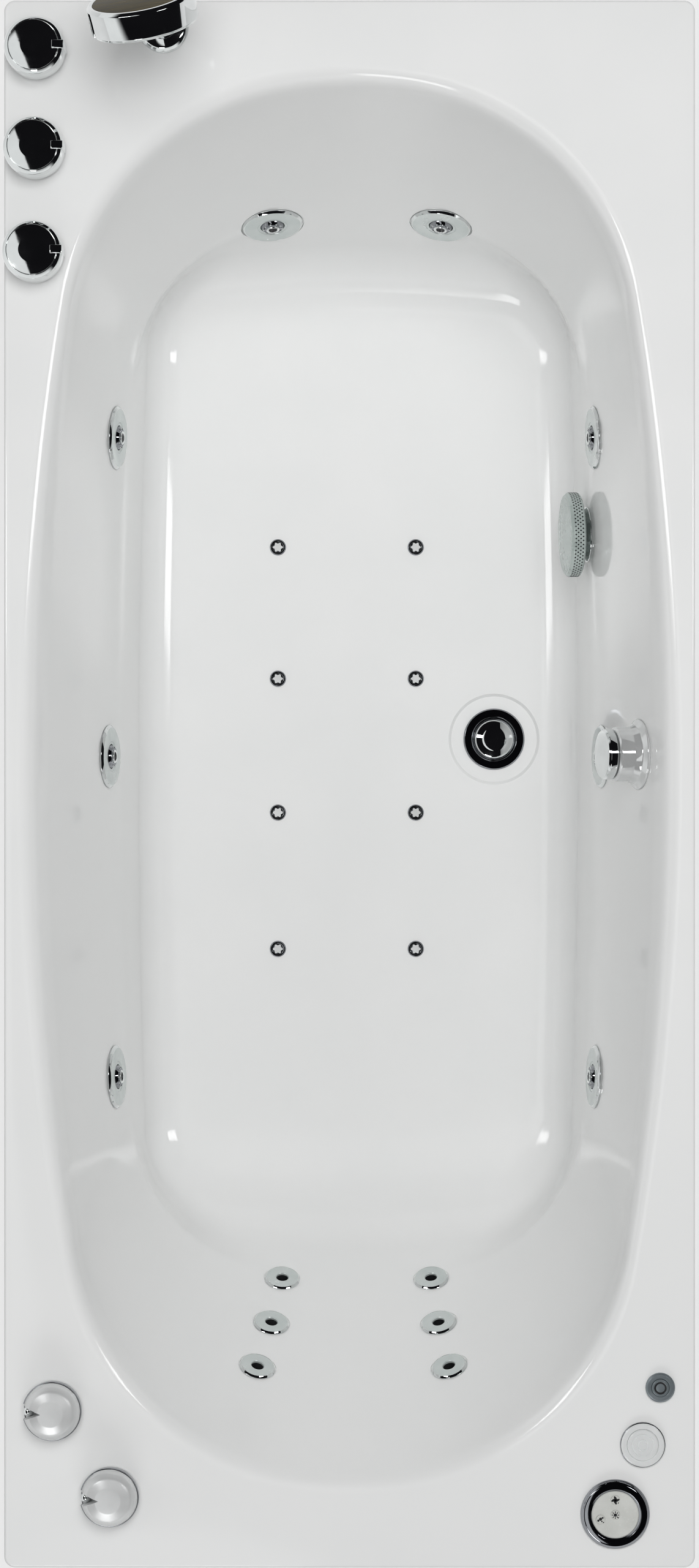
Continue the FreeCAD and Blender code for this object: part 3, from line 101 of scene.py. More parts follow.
def mix_colours(tree, factor, dark, light):
    """A colour between two, by a factor."""
    node = tree.nodes.new("ShaderNodeMix")
    node.data_type = "RGBA"
    node.inputs["A"].default_value = (*dark, 1)
    node.inputs["B"].default_value = (*light, 1)
    tree.links.new(factor, node.inputs["Factor"])
    return node.outputs["Result"]


def bump(tree, shader, value, distance, strength=1.0, before=None):
    """Bump from a height in metres."""
    node = tree.nodes.new("ShaderNodeBump")
    node.inputs["Strength"].default_value = strength
    node.inputs["Distance"].default_value = distance
    tree.links.new(value, node.inputs["Height"])
    if before:
        tree.links.new(before, node.inputs["Normal"])
    tree.links.new(node.outputs["Normal"], shader.inputs["Normal"])
    return node.outputs["Normal"]


def plain(name, dark, light, rough, metal=0.0, grain=60.0, relief=0.00002, coat=0.0):
    """A material with two close tones, uneven gloss and a fine grain."""
    mat, tree, shader = new_material(name)
    clouds = noise(tree, grain)
    fine = noise(tree, grain * 6, 5.0)
    factor = spread(tree, clouds, 0, 1)
    tree.links.new(mix_colours(tree, factor, dark, light), shader.inputs["Base Color"])
    tree.links.new(spread(tree, fine, rough[0], rough[1]), shader.inputs["Roughness"])
    shader.inputs["Metallic"].default_value = metal
    shader.inputs["Coat Weight"].default_value = coat
    bump(tree, shader, fine, relief)
    return mat


def acrylic():
    """Glossy white sanitary acrylic: slow waves, orange peel and faint wiping marks."""
    mat, tree, shader = new_material("acrylic")
    slow = noise(tree, 2.2, 2.0)
    peel = noise(tree, 260, 2.0)
    marks = noise(tree, 9, 6.0)
    tone = mix_colours(tree, spread(tree, marks, 0, 1),
                       (0.876, 0.884, 0.880), (0.888, 0.892, 0.888))
    tree.links.new(tone, shader.inputs["Base Color"])
    tree.links.new(spread(tree, marks, 0.07, 0.13), shader.inputs["Roughness"])
    shader.inputs["IOR"].default_value = 1.49
    first = bump(tree, shader, slow, 0.003, 0.5)
    bump(tree, shader, peel, 0.00002, 0.5, first)
    return mat


def chrome(name, dark, light, rough=(0.02, 0.07), metal=1.0):
    """Plated metal with faint haze and plating ripple."""
    mat, tree, shader = new_material(name)
    haze = noise(tree, 40, 4.0)
    ripple = noise(tree, 90, 2.0)
    tree.links.new(mix_colours(tree, spread(tree, haze, 0, 1), dark, light),
                   shader.inputs["Base Color"])
    tree.links.new(spread(tree, haze, rough[0], rough[1]), shader.inputs["Roughness"])
    shader.inputs["Metallic"].default_value = metal
    bump(tree, shader, ripple, 0.00004, 0.35)
    return mat


def painted_streak_bronze(name, dark, light):
    """Dark glossy bronze, with long uneven lighter streaks that are painted reflection."""
    mat, tree, shader = new_material(name)
    coords = tree.nodes.new("ShaderNodeTexCoord")
    stretch = tree.nodes.new("ShaderNodeMapping")
    stretch.inputs["Scale"].default_value = (18, 110, 110)
    tree.links.new(coords.outputs["Object"], stretch.inputs["Vector"])
    grain = tree.nodes.new("ShaderNodeTexNoise")
    grain.inputs["Scale"].default_value = 1.0
    grain.inputs["Detail"].default_value = 5.0
    tree.links.new(stretch.outputs["Vector"], grain.inputs["Vector"])
    # Lighter streaks in the base colour: painted reflection streaks on the mirror back.
    factor = spread(tree, grain.outputs["Fac"], 0, 1, (0.35, 0.65))
    tree.links.new(mix_colours(tree, factor, dark, light), shader.inputs["Base Color"])
    tree.links.new(spread(tree, grain.outputs["Fac"], 0.12, 0.3), shader.inputs["Roughness"])
    shader.inputs["Specular IOR Level"].default_value = 0.04
    return mat


ACRYLIC = acrylic()
CHROME = chrome("chrome", (0.72, 0.74, 0.74), (0.80, 0.82, 0.82))
PALE_CHROME = chrome("pale_chrome", (0.58, 0.63, 0.62), (0.67, 0.71, 0.70), (0.15, 0.28), 0.3)
DARK_CHROME = chrome("dark_chrome", (0.30, 0.31, 0.33), (0.36, 0.37, 0.39), (0.03, 0.08))
BRIGHT = chrome("bright_chrome", (0.66, 0.67, 0.67), (0.74, 0.75, 0.75), (0.03, 0.08), 0.5)
GLASSY = chrome("glassy_cap", (0.80, 0.82, 0.82), (0.86, 0.87, 0.87), (0.05, 0.12), 0.12)
SAGE = chrome("sage_cover", (0.40, 0.46, 0.44), (0.50, 0.56, 0.54), (0.2, 0.35), 0.2)
SATIN = chrome("satin_chrome", (0.70, 0.71, 0.71), (0.78, 0.79, 0.79), (0.3, 0.42), 0.35)
BLUE_STEEL = chrome("blue_steel", (0.20, 0.235, 0.25), (0.27, 0.30, 0.32), (0.15, 0.3), 0.4)
# The hand shower's mirror back: a real dark bronze tone with painted reflection streaks.
BRONZE = painted_streak_bronze("bronze_mirror", (0.036, 0.027, 0.006), (0.085, 0.064, 0.017))
BLACK = plain("black_plastic", (0.012, 0.013, 0.014), (0.03, 0.03, 0.032), (0.25, 0.45))
GREY = plain("grey_plastic", (0.30, 0.32, 0.34), (0.36, 0.38, 0.40), (0.3, 0.5))
PALE = plain("pale_plastic", (0.60, 0.61, 0.58), (0.68, 0.69, 0.66), (0.15, 0.3))
PIPE = plain("white_pipe", (0.66, 0.66, 0.63), (0.72, 0.72, 0.70), (0.3, 0.45))
HOSE = plain("air_hose", (0.5, 0.54, 0.55), (0.58, 0.62, 0.63), (0.2, 0.35), coat=0.2)
BRASS = plain("brass", (0.50, 0.36, 0.14), (0.62, 0.47, 0.2), (0.25, 0.45), 1.0)
STEEL = plain("frame_steel", (0.42, 0.43, 0.44), (0.52, 0.53, 0.54), (0.3, 0.5), 0.6, 25)
ZINC = plain("zinc", (0.5, 0.5, 0.47), (0.62, 0.62, 0.58), (0.25, 0.4), 1.0)
RUBBER = plain("rubber", (0.015, 0.015, 0.015), (0.03, 0.03, 0.03), (0.6, 0.8))
BOARD = plain("board", (0.40, 0.29, 0.17), (0.55, 0.42, 0.27), (0.6, 0.8), 0.0, 45, 0.0002)
MOTOR = plain("motor_paint", (0.05, 0.06, 0.07), (0.08, 0.09, 0.11), (0.35, 0.5))
KEY = plain("key_plastic", (0.58, 0.59, 0.56), (0.65, 0.66, 0.63), (0.15, 0.3))

SLOT_MATERIAL = {
    "white_acrylic": ACRYLIC, "chrome": CHROME, "dark_chrome": DARK_CHROME,
    "pale_plastic": PALE, "key_plastic": KEY, "grey_plastic": GREY, "black_plastic": BLACK,
    "white_pipe": PIPE, "clear_tube": HOSE, "brass": BRASS, "steel_tube": STEEL,
    "zinc_steel": ZINC, "foot_rubber": RUBBER, "board": BOARD, "pump_grey": MOTOR,
}
for row in frame["record"]["subparts"]:
    node = frame["nodes"][row["node"]]
    node.data.materials.clear()
    node.data.materials.append(SLOT_MATERIAL[row["material_slot"]])


# ---------------------------------------------------------------- meshes


ON_AXIS = 0.005  # radius below which a point counts as lying on the axis
EDGE_SHARE = 0.45  # share of an edge that the rounding of one corner may take
SHARP_ANGLE = 35  # degrees between faces from which an edge stays sharp


def rounded(corners, radius=0.6, steps=4):
    """A closed outline with its corners rounded. A third value is a corner's own radius."""
    result = []
    count = len(corners)
    for index, corner in enumerate(corners):
        here = Vector(corner[:2])
        back = Vector(corners[index - 1][:2]) - here
        ahead = Vector(corners[(index + 1) % count][:2]) - here
        wanted = corner[2] if len(corner) > 2 else radius
        if here.x < 2 * ON_AXIS or wanted < 0.01:
            result.append(tuple(here))
            continue
        half = back.angle(ahead) / 2
        most = EDGE_SHARE * min(back.length, ahead.length)
        reach = min(wanted / math.tan(half), most)
        start, stop = here + back.normalized() * reach, here + ahead.normalized() * reach
        for step in range(steps + 1):
            part = step / steps
            bent = start * (1 - part) ** 2 + here * 2 * part * (1 - part) + stop * part**2
            result.append(tuple(bent))
    return result


def finish_mesh(name, verts, faces):
    """A smooth-shaded object from millimetre points, with sharp edges kept."""
    mesh = bpy.data.meshes.new(name)
    mesh.from_pydata([tuple(c * MM for c in v) for v in verts], [], faces)
    work = bmesh.new()
    work.from_mesh(mesh)
    bmesh.ops.remove_doubles(work, verts=work.verts, dist=1e-6)
    bmesh.ops.recalc_face_normals(work, faces=work.faces)
    work.to_mesh(mesh)
    work.free()
    mesh.shade_smooth()
    mesh.set_sharp_from_angle(angle=math.radians(SHARP_ANGLE))
    obj = bpy.data.objects.new(name, mesh)
    bpy.context.scene.collection.objects.link(obj)
    return obj


def turned(outline, steps=96):
    """Points and faces of a closed outline of (radius, height) turned about Z."""
    count = len(outline)
    verts = []
    for step in range(steps):
        spin = 2 * math.pi * step / steps
        verts += [(r * math.cos(spin), r * math.sin(spin), z) for r, z in outline]
    faces = []
    for step in range(steps):
        after = (step + 1) % steps
        for index in range(count):
            nxt = (index + 1) % count
            if outline[index][0] < ON_AXIS and outline[nxt][0] < ON_AXIS:
                continue
            faces.append((step * count + index, step * count + nxt,
                          after * count + nxt, after * count + index))
    return verts, faces


def moved(verts, place):
    """Points at a placement."""
    return [tuple(place @ Vector(v)) for v in verts]


def placed(part, place):
    """Points and faces at a placement."""
    return moved(part[0], place), part[1]


def at(point, heading=(0, 0, 1)):
    """A placement whose Z points along heading."""
    spin = Vector((0, 0, 1)).rotation_difference(Vector(heading)).to_matrix().to_4x4()
    return Matrix.Translation(Vector(point)) @ spin


def joined(parts):
    """Several (points, faces) as one."""
    verts, faces = [], []
    for points, polygons in parts:
        base = len(verts)
        verts += points
        faces += [tuple(base + i for i in polygon) for polygon in polygons]
    return verts, faces


def cuboid(low, high):
    """Points and faces of a box."""
    verts = [(x, y, z) for x in (low[0], high[0]) for y in (low[1], high[1])
             for z in (low[2], high[2])]
    faces = [(0, 1, 3, 2), (4, 6, 7, 5), (0, 4, 5, 1), (2, 3, 7, 6), (0, 2, 6, 4), (1, 5, 7, 3)]
    return verts, faces


def dress(obj, material, body, slot, *nodes):
    """Give a piece its material and body, and hide the nodes it stands for. The slot is not used.
    """
    obj.data.materials.clear()
    obj.data.materials.append(material)
    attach(obj, body)
    if nodes:
        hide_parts(*nodes)
    return obj


def evaluated(obj, name):
    """The object with its modifiers applied, as a new object."""
    graph = bpy.context.evaluated_depsgraph_get()
    mesh = bpy.data.meshes.new_from_object(obj.evaluated_get(graph))
    copy = bpy.data.objects.new(name, mesh)
    bpy.context.scene.collection.objects.link(copy)
    bpy.data.objects.remove(obj)
    return copy


def carve(obj, tools, operation, name):
    """Union or cut an object with a set of closed tools."""
    tool = finish_mesh("tool", *joined(tools))
    step = obj.modifiers.new("carve", "BOOLEAN")
    step.operation = operation
    step.object = tool
    step.solver = "EXACT"
    result = evaluated(obj, name)
    bpy.data.objects.remove(tool)
    return result


def soften_edges(obj, width):
    """Round the sharp edges of a mesh."""
    step = obj.modifiers.new("round", "BEVEL")
    step.width = width * MM
    step.segments = 3
    step.limit_method = "ANGLE"
    step.angle_limit = math.radians(40)


# ---------------------------------------------------------------- the basin's form

RIM_WIDE, RIM_DEEP = 26.0, 36.0  # half axes of the rim's elliptical rounding
# Each wall's reach at the deck, its slope (across per depth) and the radius of its floor fillet
SIDE_TOP, SIDE_SLOPE, SIDE_FILLET = 363, 0.12, 48
FOOT_TOP, FOOT_SLOPE, FOOT_FILLET = 783, 0.33, 100
BACK_TOP, BACK_SLOPE, BACK_FILLET = 770, 0.57, 150
DRAW_IN, DRAW_START, DRAW_SPAN = 28, 20, 285  # how the side walls curve in below the rim
WIDEST = 20  # where along the bath the basin is widest
ARC_POINTS = (22, 26, 12)  # on the side, corner and end arc of a quarter outline
BACK_START, SIDE_START = BASIN_DEPTH - BACK_FILLET, BASIN_DEPTH - SIDE_FILLET


def wall_line(top, slope, depth):
    """Reach of a straight wall tangent to the rim's elliptical rounding."""
    angle = math.atan2(RIM_WIDE, RIM_DEEP * slope)
    start = RIM_DEEP * (1 - math.cos(angle))
    if depth <= start:
        return top - RIM_WIDE * math.sin(math.acos(1 - depth / RIM_DEEP))
    return top - RIM_WIDE * math.sin(angle) - slope * (depth - start)


def filleted(wall, slope, radius, depth):
    """A wall's reach with its floor fillet."""
    centre_depth = BASIN_DEPTH - radius
    tangent = centre_depth + radius * math.sin(math.atan(slope))
    if depth <= tangent:
        return wall(depth)
    centre = wall(tangent) + slope * (tangent - centre_depth) - radius * math.hypot(1, slope)
    return centre + math.sqrt(max(0.0, radius**2 - (depth - centre_depth) ** 2))


def side_wall(depth):
    """A side wall's reach, without its floor fillet."""
    past = min(1.0, max(0.0, depth - DRAW_START) / DRAW_SPAN)
    return wall_line(SIDE_TOP, SIDE_SLOPE, depth) - DRAW_IN * (1 - (1 - past) ** 2)


def reaches(depth):
    """The basin's half width and its reach to the foot end and to the backrest, at a depth."""
    side = filleted(side_wall, SIDE_SLOPE, SIDE_FILLET, depth)
    foot = filleted(lambda d: wall_line(FOOT_TOP, FOOT_SLOPE, d), FOOT_SLOPE, FOOT_FILLET, depth)
    back = filleted(lambda d: wall_line(BACK_TOP, BACK_SLOPE, d), BACK_SLOPE, BACK_FILLET, depth)
    return side, foot, back


def quarter(half_width, reach, side_radius, end_radius, corner_radius, counts):
    """Points of a quarter outline from the side's middle to the end's middle."""
    side_centre = Vector((half_width - side_radius, 0))
    end_centre = Vector((0, reach - end_radius))
    first, second = side_radius - corner_radius, end_radius - corner_radius
    apart = end_centre - side_centre
    along = (first**2 - second**2 + apart.length_squared) / (2 * apart.length)
    across = math.sqrt(first**2 - along**2)
    heading = apart.normalized()
    centre = side_centre + heading * along + Vector((-heading.y, heading.x)) * across
    start = centre + (centre - side_centre).normalized() * corner_radius
    stop = centre + (centre - end_centre).normalized() * corner_radius
    points = []
    for heart, begin, end, count in ((side_centre, Vector((half_width, 0)), start, counts[0]),
                                     (centre, start, stop, counts[1]),
                                     (end_centre, stop, Vector((0, reach)), counts[2])):
        low = math.atan2(begin.y - heart.y, begin.x - heart.x)
        high = math.atan2(end.y - heart.y, end.x - heart.x)
        radius = (begin - heart).length
        for step in range(count):
            turn = low + (high - low) * step / count
            points.append((heart.x + radius * math.cos(turn), heart.y + radius * math.sin(turn)))
    return points + [(0.0, reach)]


def ring(depth, grow=0.0, drop=0.0):
    """One closed level of the basin, with flatter sides and tighter corners further down."""
    deep = depth / BASIN_DEPTH
    near_floor = max(0.0, (depth - 310) / 120)
    side, foot, back = reaches(depth)
    side_radius = 3000 + 10000 * deep
    end_radius = 420 + 1200 * deep**2
    corner_radius = 290 - 140 * deep - 90 * near_floor + grow
    arcs = (side_radius, end_radius, corner_radius, ARC_POINTS)
    near = quarter(side + grow, foot + grow - WIDEST, *arcs)
    far = quarter(side + grow, back + grow + WIDEST, *arcs)
    outline = near[:-1] + [(-x, y) for x, y in near[:0:-1]]
    outline += [(-x, -y) for x, y in far[:-1]] + [(x, -y) for x, y in far[:0:-1]]
    return [(x, y + WIDEST, DECK - depth - drop) for x, y in outline]


def levels():
    """Depths of the basin's rings, close together in the rim and the floor fillets."""
    rim = [RIM_DEEP * (1 - math.cos(math.radians(7 * k))) for k in range(10)]
    wall = [rim[-1] + (BACK_START - rim[-1]) * k / 24 for k in range(1, 24)]
    wall += [BACK_START + (SIDE_START - BACK_START) * k / 14 for k in range(14)]
    fillet = [SIDE_START + SIDE_FILLET * math.sin(math.radians(5 * k)) for k in range(19)]
    return rim + wall + fillet


def deck_ring(inset, height):
    """The deck's rounded rectangle, drawn in from its edge."""
    x, y, corner = HALF_WIDTH - inset, HALF_LENGTH - inset, DECK_CORNER - inset
    points = []
    for turn, (sx, sy) in enumerate(((1, 1), (-1, 1), (-1, -1), (1, -1))):
        for step in range(9):
            spin = math.radians(90 * turn + 90 * step / 8)
            points.append((sx * (x - corner) + corner * math.cos(spin),
                           sy * (y - corner) + corner * math.sin(spin), height))
    return points


def shell_mesh():
    """The tub's closed skin: basin, deck, lip and underside."""
    work = bmesh.new()

    def add(points):
        return [work.verts.new([c * MM for c in point]) for point in points]

    def skin(low, high):
        for index in range(len(low)):
            after = (index + 1) % len(low)
            work.faces.new((low[index], low[after], high[after], high[index]))

    def fill(outer, inner):
        edges = []
        for loop in (outer, inner):
            for index, vert in enumerate(loop):
                pair = (vert, loop[(index + 1) % len(loop)])
                edges.append(work.edges.get(pair) or work.edges.new(pair))
        bmesh.ops.triangle_fill(work, use_beauty=True, edges=edges)

    inner = [add(ring(depth)) for depth in levels()]
    for low, high in zip(inner, inner[1:]):
        skin(low, high)
    work.faces.new(inner[-1])
    outer = []
    for depth in levels()[::2] + [BASIN_DEPTH]:
        lean = math.sqrt(max(0.0, 1 - (1 - depth / RIM_DEEP) ** 2)) if depth < RIM_DEEP else 1.0
        if depth > SIDE_START:
            lean = math.sqrt(max(0.0, 1 - ((depth - SIDE_START) / SIDE_FILLET) ** 2))
        outer.append(add(ring(depth, SKIN * lean, SKIN * math.sqrt(1 - lean**2))))
    for low, high in zip(outer, outer[1:]):
        skin(low, high)
    work.faces.new(outer[-1])
    edge = [add(deck_ring(0, DECK - LIP))]
    for step in range(7):
        turn = math.radians(15 * step)
        edge.append(add(deck_ring(LIP_ROUND * (1 - math.cos(turn)),
                                  DECK - LIP_ROUND * (1 - math.sin(turn)))))
    for low, high in zip(edge, edge[1:]):
        skin(low, high)
    inside = [add(deck_ring(SKIN, DECK - LIP)), add(deck_ring(SKIN, DECK - SKIN))]
    skin(*inside)
    skin(edge[0], inside[0])
    fill(edge[-1], inner[0])
    fill(inside[1], outer[0])
    bmesh.ops.recalc_face_normals(work, faces=work.faces)
    mesh = bpy.data.meshes.new("tub")
    work.to_mesh(mesh)
    work.free()
    obj = bpy.data.objects.new("tub", mesh)
    bpy.context.scene.collection.objects.link(obj)
    return obj


# ---------------------------------------------------------------- places of the fittings


def mirrored(point, heading):
    """The seat on the other side of the bath."""
    return (-point[0], point[1], point[2]), (-heading[0], heading[1], heading[2])


# A seat is a point on a wall and the direction that faces into the basin there
LEFT_JETS = [((-278.05, 402, 345), (0.9872, -0.0450, 0.1531)),
             ((-286.73, 32, 345), (0.9838, -0.0014, 0.1791)),
             ((-278.99, -340, 345), (0.9871, 0.0425, 0.1545))]
FOOT_JET = ((-100, 662.16, 280), (0.1283, -0.9483, 0.2904))
BACK_LEFT = [((-88, -584.75, 284), (0.0779, 0.8717, 0.4837)),
             ((-97, -624.21, 358), (0.1515, 0.8689, 0.4713)),
             ((-109, -660.82, 431), (0.2319, 0.8573, 0.4597))]
JETS = LEFT_JETS + [mirrored(*seat) for seat in LEFT_JETS] + [FOOT_JET, mirrored(*FOOT_JET)]
BACK_JETS = BACK_LEFT + [mirrored(*seat) for seat in BACK_LEFT]
SUCTION = ((273.18, 295, 280), (-0.9912, -0.0273, 0.1296))
FILLER = ((319.73, 33, 495), (-0.9642, -0.0025, 0.2652))
AIR_JETS = [((x, y, FLOOR), (0, 0, 1)) for x in (-100, 69) for y in (290, 129, -35, -202)]
# Places on the floor and the deck, as (x, y)
DRAIN = (165, 55)
KNOBS = {"diverter_knob": (-339, 794), "cold_tap_knob": (-340, 686), "hot_tap_knob": (-341, 574)}
HOLDER = (-202, 820)
REGULATORS = {"air_regulator_1": (-321, -677), "air_regulator_2": (-259, -770)}
PANEL = (288, -791)
KEYS = {"panel_key_1": (0, 16), "panel_key_2": (0, 0), "panel_key_3": (-16, -5)}
START = (318, -716)
LIGHT = (337, -654)


def rod(radius, low, high, steps=64):
    """A closed cylinder along Z."""
    return turned([(0, low), (radius, low), (radius, high), (0, high)], steps)


def tub():
    """The smooth tub with its pads, flats, dish and holes."""
    obj = shell_mesh()
    # Each fitting's seat, the radius of its flat and the radius of its hole
    flats = [(seat, 37.5, 22.3) for seat in JETS] + [(seat, 22, 12.3) for seat in BACK_JETS]
    flats += [(SUCTION, 37, 24.3), (FILLER, 40, 18.3)]
    pads = [placed(rod(radius, -11, -1), at(*seat)) for seat, radius, hole in flats]
    pads.append(placed(rod(66.5, 0, 9), at((*DRAIN, DISH - SKIN))))
    obj = carve(obj, pads, "UNION", "tub_padded")
    cuts = [placed(rod(radius, 0, 12), at(*seat)) for seat, radius, hole in flats]
    dish = [(0, 0), (52.5, 0), (84.5, 40), (0, 40)]
    cuts.append(placed(turned(dish, 96), at((*DRAIN, DISH))))
    obj = carve(obj, cuts, "DIFFERENCE", "tub_flattened")
    holes = [placed(rod(hole, -40, 5), at(*seat)) for seat, radius, hole in flats]
    holes += [placed(rod(7.3, -15, 15), at(*seat)) for seat in AIR_JETS]
    holes.append(placed(rod(21.5, -30, 10), at((*DRAIN, DISH))))
    deck = [(p, 14.3) for p in KNOBS.values()] + [(p, 15.3) for p in REGULATORS.values()]
    deck += [(HOLDER, 14.3), (PANEL, 28.3), (START, 20.3), (LIGHT, 11.3)]
    holes += [placed(rod(radius, -15, 15), at((*p, DECK))) for p, radius in deck]
    obj = carve(obj, holes, "DIFFERENCE", "tub_surface")
    obj.data.shade_smooth()
    obj.data.set_sharp_from_angle(angle=math.radians(28))
    dress(obj, ACRYLIC, "bath", "white_acrylic", "tub_shell")


tub()


# ---------------------------------------------------------------- fittings on the walls


def lathe_piece(name, outline, seats, material, body, slot, nodes, radius=0.6, steps=96):
    """One piece, or several alike, turned from an outline and set on seats."""
    part = turned(rounded(outline, radius), steps)
    obj = finish_mesh(name, *joined([placed(part, at(*seat)) for seat in seats]))
    dress(obj, material, body, slot, *nodes)


lathe_piece("jet_rings", [(15.4, 0), (34, 0), (34, 4.4), (18, 4.5), (17.2, 3.7), (14.1, 3.7)],
            JETS, PALE_CHROME, "bath", "chrome", ["jet_trim_rings"])
lathe_piece("jet_ring_edges", [(33.5, 0), (36.5, 0), (36.5, 2), (34, 4.5), (33.5, 4.45)],
            JETS, CHROME, "bath", "chrome", [])

JET_BALL, BALL_DEPTH = 14.9, 3  # radius of a nozzle's ball, and its centre behind the seat
BEADS, BEAD_RADIUS = 10, 0.95
NOZZLE = [(5, -13.4)] + [(JET_BALL * math.cos(a), JET_BALL * math.sin(a))
                         for a in [math.radians(-64 + 7.5 * k) for k in range(15)]]
NOZZLE += [(11, 9.6), (8.6, 7.4), (5, 7.4)]
EYE_RIM = [(5, 7.4), (8, 7.4), (8, 11, 0.8), (6.8, 12, 0.4), (5, 11.2)]


def bead(radius, spot):
    """A small ball."""
    steps = [math.radians(-90 + 22.5 * k) for k in range(9)]
    ball = turned([(radius * math.cos(t), radius * math.sin(t)) for t in steps], 16)
    return placed(ball, Matrix.Translation(spot))


for index, (point, heading) in enumerate(JETS, start=1):
    body = f"jet_nozzle_{index}"
    place = at(Vector(point) - Vector(heading) * BALL_DEPTH, heading)
    core = finish_mesh(f"nozzle_{index}", *placed(turned(NOZZLE, 64), place))
    dress(core, DARK_CHROME, body, "chrome", body)
    bright = [turned(rounded(EYE_RIM, 0.3), 48)]
    for step in range(BEADS):
        turn = 2 * math.pi * step / BEADS
        bright.append(bead(BEAD_RADIUS, (11 * math.cos(turn), 11 * math.sin(turn), 9.6)))
    rim = finish_mesh(f"nozzle_rim_{index}", *placed(joined(bright), place))
    dress(rim, CHROME, body, "chrome")
    # A black disc set just inside the nozzle's open bore paints the shade within it.
    bore_shade = finish_mesh(f"nozzle_bore_shade_{index}", *placed(rod(4.9, 5, 9.4, 32), place))
    dress(bore_shade, BLACK, body, "black_plastic")

lathe_piece("back_jet_covers_smooth", [(7, 0), (19, 0), (19, 3.4), (8, 3.5), (7, 2.5)],
            BACK_JETS, PALE_CHROME, "bath", "chrome", ["back_jet_covers"])
lathe_piece("back_jet_edges", [(18.6, 0), (21, 0), (21, 1.5), (19, 3.5), (18.6, 3.45)],
            BACK_JETS, CHROME, "bath", "chrome", [])
lathe_piece("air_caps", [(0, 0), (10, 0), (10, 1), (8.8, 2.4), (7, 2.4), (7, 1.2), (5.4, 1.2),
                         (5.4, 2), (0, 2)], AIR_JETS, DARK_CHROME, "bath", "chrome",
            ["air_jet_caps"], 0.3, 48)


def lobed(lobes, radius, swing, low, high, steps=72):
    """A flat lobed disc."""
    verts = []
    for height in (low, high):
        for step in range(steps):
            turn = 2 * math.pi * step / steps
            reach = radius + swing * math.cos(lobes * turn)
            verts.append((reach * math.cos(turn), reach * math.sin(turn), height))
    faces = [tuple(range(steps))[::-1], tuple(range(steps, 2 * steps))]
    faces += [(k, (k + 1) % steps, steps + (k + 1) % steps, steps + k) for k in range(steps)]
    return verts, faces


star = lobed(6, 5.2, 0.9, 1.9, 2.3)
stars = finish_mesh("air_stars", *joined([placed(star, at(*seat)) for seat in AIR_JETS]))
dress(stars, SATIN, "bath", "chrome")
lathe_piece("suction_stem", [(0, 2), (22, 2), (24, 0), (33, 0), (33, 2), (27, 6), (27, 10.5),
                             (0, 10.5)], [SUCTION], CHROME, "bath", "chrome", [], 1.5)
lathe_piece("suction_front", [(0, 10), (47, 10), (49.6, 12), (49.6, 24), (47, 27), (44, 27.2),
                              (43.6, 26.8, 0.1), (43.2, 27.2), (0, 28.5)],
            [SUCTION], SAGE, "bath", "chrome", ["suction_cover"], 1.5)
# The cover is solid: black pegs standing just proud of its side paint the shade of its
# perforations.
HOLE_ROWS, HOLES_ROUND = 4, 66
peg = rod(1.0, 48.5, 49.8, 8)
holes = []
for row in range(HOLE_ROWS):
    for step in range(HOLES_ROUND):
        turn = 2 * math.pi * (step + 0.5 * (row % 2)) / HOLES_ROUND
        spot = at((0, 0, 13.8 + 2.9 * row), (math.cos(turn), math.sin(turn), 0))
        holes.append(placed(peg, at(*SUCTION) @ spot))
dress(finish_mesh("suction_hole_shade", *joined(holes)), BLACK, "bath", "black_plastic")

DRAIN_SEAT = ((*DRAIN, DISH), (0, 0, 1))
lathe_piece("waste_ring", [(18, -45), (20.5, -45), (20.5, 0), (37.5, 0), (37.5, 1.6, 0.5),
                           (36, 3), (27.5, 3), (25.4, 1.2), (19.5, 1), (18, -1)],
            [DRAIN_SEAT], DARK_CHROME, "bath", "chrome", ["waste_flange"])
lathe_piece("plug_dome", [(0, -36), (4, -36), (4, -2), (12, -1.5), (16, -0.5), (16.5, 1.6),
                          (23.8, 1.8), (24.8, 3), (22.8, 6.4, 4), (14, 9.4, 12), (0, 10.4)],
            [DRAIN_SEAT], CHROME, "drain_plug", "chrome", ["drain_plug"])
lathe_piece("filler_front", [(0, -12), (18, -12), (18, 0), (39, 0), (39, 2.5), (33, 7, 3),
                             (30.5, 14, 5), (30, 29), (28, 31), (5, 31), (5, 40), (0, 40)],
            [FILLER], BRIGHT, "bath", "chrome", ["overflow_filler"], 1)
lathe_piece("filler_knob", [(5.05, 31.6), (26, 31.6), (28, 33.6), (28, 41), (26, 43.6),
                            (0, 44.4), (0, 40.5), (5.05, 40.5)],
            [FILLER], CHROME, "overflow_knob", "chrome", ["overflow_knob"], 1)


# ---------------------------------------------------------------- fittings on the deck


def on_deck(place):
    """A seat on the deck."""
    return ((*place, DECK), (0, 0, 1))


lathe_piece("tap_rings", [(6, 0), (29, 0), (29, 2.5), (27, 5), (6, 5)],
            [on_deck(p) for p in KNOBS.values()], CHROME, "bath", "chrome", ["tap_flanges"])
KNOB = [(5.05, 5.6), (29, 5.6), (32.5, 9, 2), (32.5, 25, 1), (31, 30, 2), (27.5, 33.2, 0.5),
        (27.1, 32.7, 0.1), (26.7, 33.4, 0.3), (14, 34.2), (0, 34.5), (0, 29), (5.05, 29)]
for name, place in KNOBS.items():
    spot = at((*place, DECK))
    body = finish_mesh(name + "_body", *placed(turned(rounded(KNOB)), spot))
    dress(body, CHROME, name, "chrome", name)
    lug = placed(cuboid((20, -4.5, 5.6), (32.9, 4.5, 36)), spot)
    lug = finish_mesh(name + "_pointer", *lug)
    soften_edges(lug, 0.8)
    dress(lug, CHROME, name, "chrome")

lathe_piece("holder_dome", [(11.08, -150), (14, -150), (14, 0), (28, 0), (28, 4, 2), (24, 9, 6),
                            (15, 12, 2), (11.08, 12)],
            [on_deck(HOLDER)], CHROME, "bath", "chrome", ["shower_holder"])


